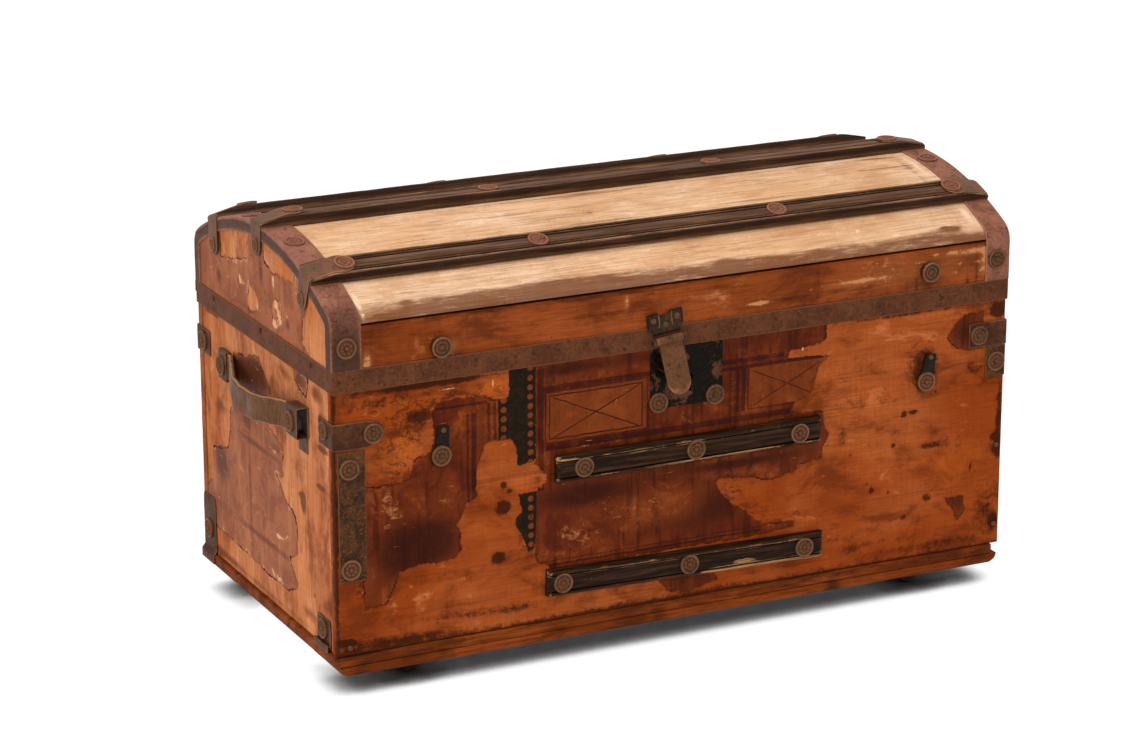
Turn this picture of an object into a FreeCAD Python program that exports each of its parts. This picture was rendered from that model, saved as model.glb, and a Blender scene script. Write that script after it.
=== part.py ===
import FreeCAD, Part

import math
import os
import re

import Sketcher

# Dome top trunk. Millimetres; +Z is up, the front faces -Y and +X points to the right of the front.
# The origin is on the floor, under the middle of everything the trunk covers, hasp and hinges included.

doc = FreeCAD.newDocument("DomeTopTrunk")
nodes = {}

# Driving dimensions: millimetres, and degrees where the note says so
sizes = {
    # Box
    "box_length": 710,  # outside length of the box
    "box_depth": 343,  # outside depth of the box
    "body_height": 258,  # height of the side panels, from the bottom boards to the lid joint
    "panel_thickness": 12,  # front, back and end panels
    "bottom_thickness": 10.5,  # bottom boards
    "board_gap": 1,  # shrinkage gap between two bottom boards
    "bottom_overhang": 3,  # bottom boards past the left end
    "bottom_setback": 8,  # bottom boards short of the right end
    "middle_setback": 7.6,  # middle of the box behind the origin
    "runner_thickness": 9.5,  # runners under the bottom
    "runner_width": 70,  # runners, front to back
    "runner_inset": 2,  # runner short of the box at each end
    "runner_turn": 8,  # rounding of the runner's lower ends

    # Lid
    "lid_height": 108.9,  # lid joint to the top of the dome
    "lid_thickness": 10,  # rails, end boards and staves of the lid
    "shoulder_radius": 18,  # outside of the dome's shoulders
    "shoulder_rise": 52.4,  # where the shoulders start, above the joint
    "rail_height": 55,  # front and back rails of the lid
    "slat_width": 29,  # slats over the dome
    "slat_height": 9,  # slats over the dome
    "slat_chamfer": 2.2,  # top edges of a slat
    "slat_groove": 1.8,  # width of a slat's grooves
    "groove_depth": 1.4,  # depth of a slat's grooves
    "groove_offset": 8.4,  # groove from the middle of the slat
    "slat_bevel": 27,  # length of the bevel at a slat's end
    "slat_end_height": 3,  # slat's height at its very end
    "front_slat_place": -116,  # front slat from the middle of the dome
    "middle_slat_place": 3,  # middle slat from the middle of the dome
    "back_slat_place": 117,  # back slat from the middle of the dome
    "hoop_width": 30,  # hoop's width over the dome
    "hoop_flange": 12,  # hoop's width on the end of the lid
    "hoop_thickness": 1.6,  # hoop steel
    "clamp_width": 25,  # strap over a slat's end
    "clamp_thickness": 1.4,  # strap over a slat's end
    "clamp_reach": 44,  # strap from the trunk's end along the slat
    "clamp_taper": 4,  # strap's leg, narrower at its foot on each side
    "clamp_lean": 0.5,  # share of the slat's roll that the strap's leg keeps
    "front_clamp_leg": 35,  # front strap's leg down the end of the lid
    "middle_clamp_leg": 30,  # middle strap's leg down the end of the lid
    "back_clamp_leg": 36,  # back strap's leg down the end of the lid
    "band_width": 21,  # steel band round the lid joint
    "band_drop": 6,  # band below the joint, at the front and the ends
    "band_thickness": 1.5,  # band, straps and plates on the box

    # Nails and discs
    "disc_radius": 10,  # nail discs
    "disc_height": 2.2,  # nail discs
    "disc_dish": 1,  # rounding of a disc's rim
    "boss_radius": 3.2,  # raised middle of a disc
    "boss_height": 0.8,  # raised middle of a disc, above its face
    "left_hoop_disc": 54,  # front disc on the left hoop, from the middle of the dome
    "right_hoop_disc": 41,  # front disc on the right hoop, from the middle of the dome
    "back_hoop_disc": 52,  # back discs on the hoops, from the middle of the dome
    "hoop_leg_disc": 36,  # discs on the hoops' front legs, above the lid joint
    "front_slat_disc": 126,  # discs along the front slat, left and right of the middle
    "middle_slat_disc": 120,  # discs along the middle slat, left and right of the middle
    "back_slat_disc": 122,  # discs along the back slat, left and right of the middle
    "slat_end_disc": 35,  # discs near the slats' ends, from the end of the lid
    "band_nail_rise": 15,  # nails above the band's lower edge
    "nail_radius": 2.6,  # heads of the small nails
    "nail_height": 1.2,  # heads of the small nails

    # Front
    "bar_length": 281,  # upper front bar
    "lower_bar_length": 294.5,  # lower front bar
    "bar_height": 26,  # front bars
    "bar_depth": 9,  # front bars, out from the panel
    "bar_bevel": 4.5,  # bevel of the front bars
    "upper_bar_right": 5.5,  # middle of the upper bar, right of the middle of the trunk
    "upper_bar_drop": 108,  # middle of the upper bar below the lid joint
    "lower_bar_right": 2.5,  # middle of the lower bar, right of the middle of the trunk
    "lower_bar_rise": 36,  # middle of the lower bar above the bottom boards
    "lower_bar_tilt": 1.3,  # degrees, right end down
    "tab_width": 16,  # black tabs of the side catches, at the foot
    "tab_top_width": 11,  # black tabs, at the top
    "tab_length": 36,  # black tabs on the box
    "tab_foot": 8,  # black tabs below their discs
    "left_tab_lean": 6,  # degrees, top to the right
    "right_tab_lean": 12,  # degrees, top to the right
    "tab_disc_drop": 78,  # discs of the black tabs below the lid joint
    "tab_nail_rise": 24,  # small nails of the black tabs above their discs
    "left_catch": 250,  # left side catch, left of the middle of the trunk
    "right_catch": 265,  # right side catch, right of the middle of the trunk
    "left_knob_rise": 26,  # left catch knob above the lid joint
    "right_knob_rise": 33,  # right catch knob above the lid joint
    "knob_radius": 10,  # knobs of the side catches on the lid
    "knob_height": 8,  # knobs of the side catches on the lid

    # Lock and hasp
    "plate_width": 76,  # lock plate
    "plate_height": 58,  # lock plate
    "plate_right": 2.2,  # middle of the lock plate, right of the middle of the trunk
    "plate_top": 6.5,  # top of the lock plate below the lid joint
    "plate_disc_inset": 8,  # discs on the lock plate, in from its sides
    "plate_disc_rise": 6,  # discs on the lock plate, up from its foot
    "keyhole_right": 6,  # keyhole, right of the middle of the trunk
    "keyhole_radius": 3.2,  # round end of the keyhole
    "keyhole_length": 14,  # keyhole's slot below its round end
    "keyhole_slot": 3.4,  # width of the keyhole's slot
    "case_width": 62,  # lock case
    "case_height": 48,  # lock case
    "case_depth": 20,  # lock case, behind the lock plate
    "case_wall": 2,  # lock case
    "case_left": 17,  # lock case, left of the staple
    "case_drop": 4,  # middle of the lock case below the staple
    "bolt_height": 10,  # lock bolt
    "bolt_thickness": 4,  # lock bolt
    "bolt_length": 34,  # lock bolt
    "bolt_travel": 8,  # lock bolt
    "bolt_nose": 12,  # thin end of the bolt that enters the staple
    "bolt_inset": 1.2,  # lock bolt behind the back of the lock plate
    "eye_gap": 0.7,  # clearance round the bolt in the staple's eye
    "guide_length": 17,  # guide block of the lock bolt
    "guide_wall": 4,  # guide block above and below the bolt
    "fit_gap": 0.3,  # clearance between sliding or facing pieces
    "hasp_left": 19.5,  # hasp pin, left of the middle of the trunk
    "hasp_rise": 3.5,  # hasp pin above the lid joint
    "hasp_tilt": 6.5,  # degrees, right side up
    "hasp_ajar": 20,  # degrees, tongue out from the lock plate
    "hasp_width": 28.6,  # hasp tongue
    "hasp_tip_width": 24.8,  # tongue, where its rounded end starts
    "hasp_tip_radius": 13,  # rounded end of the tongue
    "hasp_length": 52,  # pin to the end of the tongue
    "hasp_thickness": 2.2,  # hasp tongue
    "blade_back": 3.4,  # back of the tongue, behind the pin
    "notch_gap": 1.5,  # hasp plate's notch above the tongue's roll
    "roll_radius": 4,  # tongue's roll round the pin
    "hasp_pin_radius": 2,  # hasp pin
    "pin_clearance": 0.06,  # radial clearance of a pin in its bore
    "ear_width": 3,  # ears of the hasp plate
    "hasp_plate_width": 37,  # hasp plate on the lid
    "hasp_plate_height": 17,  # hasp plate on the lid
    "hasp_plate_rise": 9.5,  # lower edge of the hasp plate above the pin
    "staple_drop": 32,  # middle of the staple below the pin
    "staple_height": 12,  # staple
    "staple_depth": 11,  # staple, back from the tongue
    "staple_thickness": 4,  # staple
    "staple_wall": 2.4,  # staple round its eye
    "staple_slot_width": 6,  # slot in the lock plate
    "staple_slot_height": 19,  # slot in the lock plate

    # Corner straps
    "strap_height": 25,  # wrap straps near the top corners
    "front_leg": 38,  # wrap strap along the front or back
    "end_leg": 33,  # wrap strap along the end
    "left_strap_drop": 47,  # middle of the left front wrap strap below the lid joint
    "right_strap_drop": 39,  # middle of the right front wrap strap below the lid joint
    "back_strap_drop": 41,  # middle of the back wrap straps below the lid joint
    "right_front_leg": 31,  # right front wrap strap along the front
    "long_plate_width": 27,  # upright plate, front left
    "long_plate_height": 124,  # upright plate, front left
    "plate_gap": 2.5,  # front left plate below its wrap strap
    "top_disc_drop": 16,  # upper disc below the top of the front left plate
    "foot_disc_rise": 12,  # lower disc above the foot of the front left plate
    "short_plate_width": 22,  # upright plate, front right
    "short_plate_height": 31,  # upright plate, front right
    "short_plate_gap": 0.5,  # front right plate below its wrap strap
    "plate_inset": 3,  # upright plates from the trunk's end
    "low_strap_width": 32,  # bottom corner straps
    "low_strap_height": 30,  # front bottom corner straps up the end
    "back_strap_height": 58,  # back bottom corner straps up the end
    "low_strap_inset": 2,  # back bottom corner straps from the corner
    "low_disc_rise": 19,  # discs on the front bottom straps, above the bottom boards
    "back_low_disc_rise": 24,  # discs on the back bottom straps, above the bottom boards
    "low_strap_back": 15,  # front bottom corner straps behind the front

    # Handles
    "handle_drop": 49,  # middle of a handle below the lid joint
    "strap_width": 27,  # leather strap
    "strap_thickness": 5,  # leather strap
    "handle_front": 58,  # front edge of the handle's loop, behind the front of the box
    "loop_length": 28,  # loop, along the strap
    "loop_reach": 16,  # loop, out from the end panel
    "loop_wall": 1.6,  # loop and rear plate
    "tail_length": 16,  # loop's foot plate below the loop
    "tail_inset": 4,  # loop's foot plate, narrower than the loop on each side
    "strap_lap": 18,  # strap's front end inside the loop
    "strap_start": 11.5,  # middle of the strap off the panel, at the loop
    "strap_bow": 24,  # middle of the strap off the panel, at its fullest
    "handle_clear": 37,  # rear end of the strap, in front of the back wrap strap
    "foot_length": 25,  # stretch of the strap that lies on the panel
    "bend_back": 43,  # where the strap turns to the panel, in front of its rear end
    "bow_back": 70,  # where the strap is fullest, in front of its rear end
    "rear_plate_length": 20,  # plate over the strap's rear end

    # Casters
    "caster_height": 20,  # underside of the runners above the floor
    "wheel_radius": 9,  # caster wheels
    "wheel_width": 11,  # caster wheels
    "wheel_rounding": 2,  # edges of the caster wheels
    "axle_radius": 2,  # caster axles
    "axle_head": 3.4,  # peened ends of the caster axles
    "head_thickness": 1.2,  # peened ends of the caster axles
    "caster_inset_x": 84,  # casters, in from the ends of the box
    "caster_inset_y": 38,  # casters, in from the front and the back of the box
    "caster_length": 36,  # caster frame's plate
    "caster_plate": 1.6,  # caster frame steel
    "caster_rim": 4,  # caster frame's plate past its ears
    "ear_gap": 0.4,  # wheel's side to the frame's ear
    "ear_length": 16,  # caster frame's ears

    # Hinges
    "hinge_inset": 145,  # middle of a hinge, in from the end of the box
    "hinge_width": 54,  # hinge leaves
    "hinge_leaf": 40,  # hinge leaves, up and down
    "hinge_thickness": 2,  # hinge leaves
    "knuckle_radius": 4,  # hinge knuckles
    "hinge_pin_radius": 2,  # hinge pins
    "hinge_out": 4.5,  # hinge pins behind the back panel
}

sheet = doc.addObject("Spreadsheet::Sheet", "Sizes")
for row, (name, number) in enumerate(sizes.items(), 1):
    sheet.set(f"A{row}", name)
    sheet.set(f"B{row}", str(number))
    sheet.setAlias(f"B{row}", name)

doc.recompute()

name_pattern = re.compile(r"\b(" + "|".join(sorted(sizes, key=len, reverse=True)) + r")\b")


def formula(text):
    """A formula in size names, as an expression that other objects can hold."""
    return name_pattern.sub(r"Sizes.\1", str(text))


def value(text):
    """What a formula comes to now."""
    result = sheet.evalExpression(str(text))
    return float(getattr(result, "Value", result))


def bind(thing, prop, text):
    thing.setExpression(prop, formula(text))


def put(thing, place, turn=("0", "0", "0")):
    """Binds a placement: place is x, y, z; turn is yaw, pitch, roll in degrees."""
    x, y, z = (formula(part) for part in place)
    yaw, pitch, roll = (formula(part) for part in turn)
    thing.setExpression("Placement", f"placement(vector({x}; {y}; {z}); rotation({yaw}; {pitch}; {roll}))")


def node(label, thing):
    thing.Label = label
    nodes[label] = thing
    return thing


# Main planes and heights, as formulas
half_length = "(box_length/2)"
front = "(middle_setback - box_depth/2)"
back = "(middle_setback + box_depth/2)"
runner_top = "(caster_height + runner_thickness)"
panel_foot = f"({runner_top} + bottom_thickness)"
joint = f"({panel_foot} + body_height)"
# The dome's arc meets both shoulders smoothly and reaches the lid's height
crown = "(lid_height - shoulder_rise)"
dome_radius = (
    f"(((box_depth/2 - shoulder_radius)^2 + {crown}^2 - shoulder_radius^2)"
    f" / (2*({crown} - shoulder_radius)))"
)
band_low = f"({joint} - band_drop)"
band_high = f"({band_low} + band_width)"


upper_bar_z = f"({joint} - upper_bar_drop)"
lower_bar_z = f"({panel_foot} + lower_bar_rise)"
left_strap_z = f"({joint} - left_strap_drop)"
right_strap_z = f"({joint} - right_strap_drop)"
back_strap_z = f"({joint} - back_strap_drop)"
handle_z = f"({joint} - handle_drop)"

# --- general pieces -------------------------------------------------------------------------------

def block(name, x, y, z):
    """A box between two formulas on each axis."""
    box = doc.addObject("Part::Box", name)
    for prop, (low, high) in zip(("Length", "Width", "Height"), (x, y, z)):
        bind(box, prop, f"({high}) - ({low})")
    put(box, (x[0], y[0], z[0]))
    return box


def rod(name, place, radius, length, turn=("0", "0", "0")):
    """A cylinder along its own +Z, turned by yaw, pitch and roll."""
    cylinder = doc.addObject("Part::Cylinder", name)
    bind(cylinder, "Radius", radius)
    bind(cylinder, "Height", length)
    put(cylinder, place, turn)
    return cylinder


def fuse(name, pieces):
    joined = doc.addObject("Part::MultiFuse", name)
    joined.Shapes = pieces
    return joined


def cut(name, base, tool):
    result = doc.addObject("Part::Cut", name)
    result.Base = base
    result.Tool = tool
    return result


def common(name, base, tool):
    result = doc.addObject("Part::Common", name)
    result.Base = base
    result.Tool = tool
    return result


def group(name, pieces):
    """Separate solids that share one node."""
    held = doc.addObject("Part::Compound", name)
    held.Links = pieces
    return held


def mirror_pair(side, near, far):
    """Low and high formulas of a stretch that lies from near to far on one side of x = 0."""
    if side > 0:
        return near, far
    return f"-({far})", f"-({near})"


def arc_middle(start, end, radius, turn):
    """The point halfway along an arc; turn is +1 for an arc that bends left on its way, -1 for right."""
    chord = end - start
    reach = chord.Length / 2
    sagitta = radius - math.sqrt(max(radius * radius - reach * reach, 0))
    sideways = FreeCAD.Vector(chord.y, -chord.x, 0).normalize()
    return (start + end) * 0.5 + sideways * (turn * sagitta)


def draw(body, plane, corners, name):
    """A closed, fully held outline. Each corner is (u, v), or (u, v, radius, turn) where an arc ends."""
    sketch = body.newObject("Sketcher::SketchObject", name)
    origin_plane = next(feature for feature in body.Origin.OriginFeatures if feature.Role == plane)
    sketch.AttachmentSupport = [(origin_plane, "")]
    sketch.MapMode = "FlatFace"
    points = [FreeCAD.Vector(value(corner[0]), value(corner[1]), 0) for corner in corners]
    for index, corner in enumerate(corners):
        start = points[index - 1]
        end = points[index]
        if len(corner) == 2:
            sketch.addGeometry(Part.LineSegment(start, end))
        else:
            middle = arc_middle(start, end, value(corner[2]), corner[3])
            sketch.addGeometry(Part.Arc(start, middle, end))
    for index, corner in enumerate(corners):
        # An arc that turns right runs clockwise, and the sketch stores its ends the other way round.
        ending = 1 if len(corner) > 2 and corner[3] < 0 else 2
        following = corners[(index + 1) % len(corners)]
        starting = 2 if len(following) > 2 and following[3] < 0 else 1
        after = (index + 1) % len(corners)
        sketch.addConstraint(Sketcher.Constraint("Coincident", index, ending, after, starting))
        for kind, text in (("DistanceX", corner[0]), ("DistanceY", corner[1])):
            held = sketch.addConstraint(Sketcher.Constraint(kind, -1, 1, index, ending, value(text)))
            sketch.setExpression(f"Constraints[{held}]", formula(text))
        if len(corner) > 2:
            held = sketch.addConstraint(Sketcher.Constraint("Radius", index, value(corner[2])))
            sketch.setExpression(f"Constraints[{held}]", formula(corner[2]))
    return sketch


def pad(name, plane, corners, length, place, turn=("0", "0", "0"), middle=False):
    """A body with one padded outline. The pad runs along the plane's normal."""
    body = doc.addObject("PartDesign::Body", name)
    outline = draw(body, plane, corners, name + "_outline")
    feature = body.newObject("PartDesign::Pad", name + "_pad")
    feature.Profile = outline
    bind(feature, "Length", length)
    feature.Midplane = middle
    put(body, place, turn)
    return body


def pocket(body, plane, corners, name):
    """A pocket through everything on both sides of the plane."""
    outline = draw(body, plane, corners, name + "_outline")
    feature = body.newObject("PartDesign::Pocket", name)
    feature.Profile = outline
    feature.Midplane = True
    feature.Type = "ThroughAll"
    return feature


def rectangle(u, v):
    return [(u[0], v[0]), (u[1], v[0]), (u[1], v[1]), (u[0], v[1])]


# --- box ------------------------------------------------------------------------------------------

def box_panels():
    full = (f"-{half_length}", half_length)
    height = (panel_foot, joint)
    blank = block("front_panel_blank", full, (front, f"{front} + panel_thickness"), height)
    mortise = block(
        "lock_mortise",
        (f"{lock_case_x[0]} - fit_gap", f"{lock_case_x[1]} + fit_gap"),
        (f"{front} - 1", f"{front} + panel_thickness + 1"),
        (f"{lock_case_z[0]} - fit_gap", f"{lock_case_z[1]} + fit_gap"),
    )
    node("front_panel", cut("front_panel", blank, mortise))
    node("back_panel", block("back_panel", full, (f"{back} - panel_thickness", back), height))
    between = (f"{front} + panel_thickness", f"{back} - panel_thickness")
    for side, name in ((-1, "left_end_panel"), (1, "right_end_panel")):
        across = mirror_pair(side, f"{half_length} - panel_thickness", half_length)
        node(name, block(name, across, between, height))


def bottom_boards():
    """Three boards side by side, with shrinkage gaps."""
    boards = []
    count = 3
    for index in range(count):
        low = f"{front} + {index}*box_depth/{count}"
        high = f"{front} + {index + 1}*box_depth/{count}"
        if index > 0:
            low += " + board_gap/2"
        if index < count - 1:
            high += " - board_gap/2"
        along = (f"-{half_length} - bottom_overhang", f"{half_length} - bottom_setback")
        boards.append(block(f"bottom_board_{index + 1}", along, (low, high), (runner_top, panel_foot)))
    node("bottom_boards", group("bottom_boards", boards))


def runners():
    """Long skids with their lower ends rounded, one under the front and one under the back."""
    reach = f"({half_length} - runner_inset)"
    side_view = [
        (f"-{reach}", "runner_thickness"),
        (f"-{reach}", "runner_turn"),
        (f"-{reach} + runner_turn", "0", "runner_turn", 1),
        (f"{reach} - runner_turn", "0"),
        (reach, "runner_turn", "runner_turn", 1),
        (reach, "runner_thickness"),
    ]
    for name, rear in (("front_runner", f"{front} + runner_width"), ("back_runner", back)):
        node(name, pad(name, "XZ_Plane", side_view, "runner_width", ("0", rear, "caster_height")))


# --- front bars and side catches ------------------------------------------------------------------

def front_bar(name, length, right, rise, tilt):
    """A bar whose long edges and ends are bevelled towards the front."""
    half = f"({length})/2"
    face = [
        ("-bar_height/2", "0"),
        ("bar_height/2", "0"),
        ("bar_height/2", "-(bar_depth - bar_bevel)"),
        ("bar_height/2 - bar_bevel", "-bar_depth"),
        ("-bar_height/2 + bar_bevel", "-bar_depth"),
        ("-bar_height/2", "-(bar_depth - bar_bevel)"),
    ]
    section = [(v, u) for u, v in face]
    body = pad(name, "YZ_Plane", section, length, (right, front, rise), ("0", tilt, "0"), middle=True)
    for side, word in ((-1, "left"), (1, "right")):
        corner = [
            (f"{side}*{half}", "-(bar_depth - bar_bevel)"),
            (f"{side}*({half} + 1)", "-(bar_depth - bar_bevel)"),
            (f"{side}*({half} + 1)", "-(bar_depth + 1)"),
            (f"{side}*({half} - bar_bevel)", "-(bar_depth + 1)"),
            (f"{side}*({half} - bar_bevel)", "-bar_depth"),
        ]
        pocket(body, "XY_Plane", corner, f"{name}_{word}_bevel")
    node(name, body)


def bar_disc_places():
    """Discs on the front bars, spaced by shares of the bar, as (x, z, height of the face off the panel)."""
    places = []
    for share in ("-0.404", "0.014", "0.413"):
        places.append((f"upper_bar_right + {share}*bar_length", upper_bar_z, "bar_depth"))
    for share in ("-0.45", "0.003", "0.428"):
        along = f"{share}*lower_bar_length"
        tilted_z = f"{lower_bar_z} - {along}*tan(lower_bar_tilt)"
        places.append((f"lower_bar_right + {along}", tilted_z, "bar_depth"))
    return places


catch_x = {"left": "-left_catch", "right": "right_catch"}
lid_catch_z = {"left": f"{joint} + left_knob_rise", "right": f"{joint} + right_knob_rise"}
body_catch_z = f"({joint} - tab_disc_drop)"


def catch_tabs():
    """Black tabs nailed to the box: wide at the disc that holds the foot, narrower at the top."""
    tabs = []
    for side in ("left", "right"):
        shape = [
            ("-tab_width/2", "-tab_foot"),
            ("tab_width/2", "-tab_foot"),
            ("tab_top_width/2", "tab_length - tab_foot"),
            ("-tab_top_width/2", "tab_length - tab_foot"),
        ]
        tabs.append(pad(
            f"{side}_body_tab", "XZ_Plane", shape, "band_thickness",
            (catch_x[side], front, body_catch_z), ("0", f"{side}_tab_lean", "0"),
        ))
    node("body_catch_tabs", group("body_catch_tabs", tabs))


# --- lock and hasp --------------------------------------------------------------------------------

hasp_x = "(-hasp_left)"
hasp_z = f"({joint} + hasp_rise)"
hasp_y = f"({front} - 2*band_thickness - roll_radius)"
plate_z = (f"{joint} - plate_top - plate_height", f"{joint} - plate_top")
plate_x = ("plate_right - plate_width/2", "plate_right + plate_width/2")
staple_x = f"({hasp_x} + staple_drop*sin(hasp_tilt))"
staple_z = f"({hasp_z} - staple_drop*cos(hasp_tilt))"
lock_case_x = (f"({staple_x} - case_left)", f"({staple_x} - case_left + case_width)")
lock_case_z = (f"({staple_z} - case_drop - case_height/2)", f"({staple_z} - case_drop + case_height/2)")


def lock_plate():
    """Plate with a keyhole and the slot for the staple, which leans as the hasp does."""
    blank = block("lock_plate_blank", plate_x, (f"{front} - band_thickness", front), plate_z)
    through = f"{front} - band_thickness - 1"
    depth = "band_thickness + 2"
    key_z = f"({staple_z} - bolt_height/2 - keyhole_radius - 1)"
    round_place = ("keyhole_right", through, key_z)
    round_end = rod("keyhole_round", round_place, "keyhole_radius", depth, ("0", "0", "-90"))
    key_slot = block(
        "keyhole_slot_cut",
        ("keyhole_right - keyhole_slot/2", "keyhole_right + keyhole_slot/2"),
        (through, f"{through} + {depth}"),
        (f"{key_z} - keyhole_length", key_z),
    )
    slot_shape = rectangle(
        ("-staple_slot_width/2", "staple_slot_width/2"),
        ("-staple_drop - staple_slot_height/2 - 1", "-staple_drop + staple_slot_height/2 - 1"),
    )
    staple_slot = pad(
        "staple_slot_cut", "XZ_Plane", slot_shape, depth,
        (hasp_x, f"{front} + 1", hasp_z), ("0", "-hasp_tilt", "0"),
    )
    holes = fuse("lock_plate_holes", [round_end, key_slot, staple_slot])
    node("lock_plate", cut("lock_plate", blank, holes))


def lock_case():
    """Open steel box behind the lock plate, with a slotted block that guides the bolt."""
    outside = block("case_outside", lock_case_x, (front, f"{front} + case_depth"), lock_case_z)
    inside = block(
        "case_inside",
        (f"{lock_case_x[0]} + case_wall", f"{lock_case_x[1]} - case_wall"),
        (f"{front} - 1", f"{front} + case_depth - case_wall"),
        (f"{lock_case_z[0]} + case_wall", f"{lock_case_z[1]} - case_wall"),
    )
    guide_x = (f"{lock_case_x[1]} - case_wall - guide_length", f"{lock_case_x[1]} - case_wall")
    tall = "(bolt_height/2 + fit_gap + guide_wall)"
    guide = block(
        "bolt_guide", guide_x,
        (front, f"{front} + case_depth - case_wall"),
        (f"{staple_z} - {tall}", f"{staple_z} + {tall}"),
    )
    channel = block(
        "bolt_channel", (f"{guide_x[0]} - 1", guide_x[1]),
        (f"{bolt_y[0]} - fit_gap", f"{bolt_y[1]} + fit_gap"),
        (f"{staple_z} - bolt_height/2 - fit_gap", f"{staple_z} + bolt_height/2 + fit_gap"),
    )
    shell = cut("case_shell", outside, inside)
    node("lock_case", cut("lock_case", fuse("case_with_guide", [shell, guide]), channel))


bolt_y = (f"({front} + bolt_inset)", f"({front} + bolt_inset + bolt_thickness)")
bolt_left = f"({staple_x} + bolt_travel/2)"
eye_half = "(staple_height/2 - staple_wall)"


def lock_bolt():
    """The bolt stands clear of the staple; it slides left through the staple's eye to lock."""
    height = (f"{staple_z} - bolt_height/2", f"{staple_z} + bolt_height/2")
    node("lock_bolt", fuse("lock_bolt", [
        block("bolt_tail", (f"{bolt_left} + bolt_nose", f"{bolt_left} + bolt_length"), bolt_y, height),
        block(
            "bolt_tip", (bolt_left, f"{bolt_left} + bolt_nose"), bolt_y,
            (f"{staple_z} - {eye_half} + eye_gap", f"{staple_z} + {eye_half} - eye_gap"),
        ),
    ]))


def hasp_plate():
    """Plate on the lid above the band, with two ears that hold the pin."""
    half = "(hasp_plate_width/2)"
    ear_out = "(hasp_width/2 + fit_gap + ear_width)"
    ear_in = "(hasp_width/2 + fit_gap)"
    outline = [
        (f"-{half}", "hasp_plate_rise"),
        (f"-{ear_out}", "hasp_plate_rise"),
        (f"-{ear_out}", "-roll_radius"),
        (f"-{ear_in}", "-roll_radius"),
        (f"-{ear_in}", "roll_radius + notch_gap"),
        (ear_in, "roll_radius + notch_gap"),
        (ear_in, "-roll_radius"),
        (ear_out, "-roll_radius"),
        (ear_out, "hasp_plate_rise"),
        (half, "hasp_plate_rise"),
        (half, "hasp_plate_rise + hasp_plate_height"),
        (f"-{half}", "hasp_plate_rise + hasp_plate_height"),
    ]
    lean = ("0", "-hasp_tilt", "0")
    sheet_metal = pad(
        "hasp_sheet", "XZ_Plane", outline, "band_thickness",
        (hasp_x, f"{front} - band_thickness", hasp_z), lean,
    )
    # Seen from the side an ear is round at the front and reaches back to the plate
    ear_side = [
        ("0", "-roll_radius"),
        ("-roll_radius", "0", "roll_radius", -1),
        ("0", "roll_radius", "roll_radius", -1),
        ("roll_radius + band_thickness", "roll_radius"),
        ("roll_radius + band_thickness", "-roll_radius"),
    ]
    parts = [sheet_metal]
    for side, word in ((-1, "left"), (1, "right")):
        start = f"({side}*(hasp_width/2 + fit_gap + ear_width/2) - ear_width/2)"
        place = (f"{hasp_x} + {start}*cos(hasp_tilt)", hasp_y, f"{hasp_z} + {start}*sin(hasp_tilt)")
        parts.append(pad(f"hasp_{word}_ear", "YZ_Plane", ear_side, "ear_width", place, lean))
    ear_span = "(hasp_width + 2*fit_gap + 2*ear_width)"
    bore = rod(
        "hasp_plate_bore",
        (f"{hasp_x} - {ear_span}/2*cos(hasp_tilt)", hasp_y, f"{hasp_z} - {ear_span}/2*sin(hasp_tilt)"),
        "hasp_pin_radius", ear_span, ("0", "90 - hasp_tilt", "0"),
    )
    node("hasp_plate", cut("hasp_plate", fuse("hasp_plate_blank", parts), bore))
    pin = rod(
        "hasp_pin",
        (f"{hasp_x} - {ear_span}/2*cos(hasp_tilt)", hasp_y, f"{hasp_z} - {ear_span}/2*sin(hasp_tilt)"),
        "hasp_pin_radius", ear_span, ("0", "90 - hasp_tilt", "0"),
    )
    node("hasp_pin", pin)


def hasp_tongue():
    """Rolled round the pin, with a rounded end and a staple at the back; drawn hanging from the pin."""
    round_rise = "(hasp_tip_radius - sqrt(hasp_tip_radius^2 - (hasp_tip_width/2)^2))"
    tip = f"(hasp_length - {round_rise})"
    blade = pad(
        "tongue_blade", "XZ_Plane",
        [
            ("-hasp_width/2", "0"),
            ("-hasp_tip_width/2", f"-{tip}"),
            ("hasp_tip_width/2", f"-{tip}", "hasp_tip_radius", 1),
            ("hasp_width/2", "0"),
        ],
        "hasp_thickness", ("0", "blade_back", "0"),
    )
    roll = rod("tongue_roll", ("-hasp_width/2", "0", "0"), "roll_radius", "hasp_width", ("0", "90", "0"))
    staple_blank = block(
        "staple_blank", ("-staple_thickness/2", "staple_thickness/2"),
        ("blade_back - 1", "blade_back + staple_depth"),
        ("-staple_drop - staple_height/2", "-staple_drop + staple_height/2"),
    )
    eye_centre = f"({bolt_y[0]} + bolt_thickness/2 - {hasp_y})"
    eye = block(
        "staple_eye", ("-staple_thickness/2 - 1", "staple_thickness/2 + 1"),
        (f"{eye_centre} - bolt_thickness/2 - eye_gap", f"{eye_centre} + bolt_thickness/2 + eye_gap"),
        (f"-staple_drop - {eye_half}", f"-staple_drop + {eye_half}"),
    )
    staple = cut("staple", staple_blank, eye)
    solid = fuse("tongue_solid", [blade, roll, staple])
    bore = rod(
        "tongue_bore", ("-hasp_width/2 - 1", "0", "0"), "hasp_pin_radius + pin_clearance",
        "hasp_width + 2", ("0", "90", "0"),
    )
    tongue = cut("hasp_tongue", solid, bore)
    put(tongue, (hasp_x, hasp_y, hasp_z), ("0", "-hasp_tilt", "-hasp_ajar"))
    node("hasp_tongue", tongue)


# --- steel on the corners -------------------------------------------------------------------------

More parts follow.
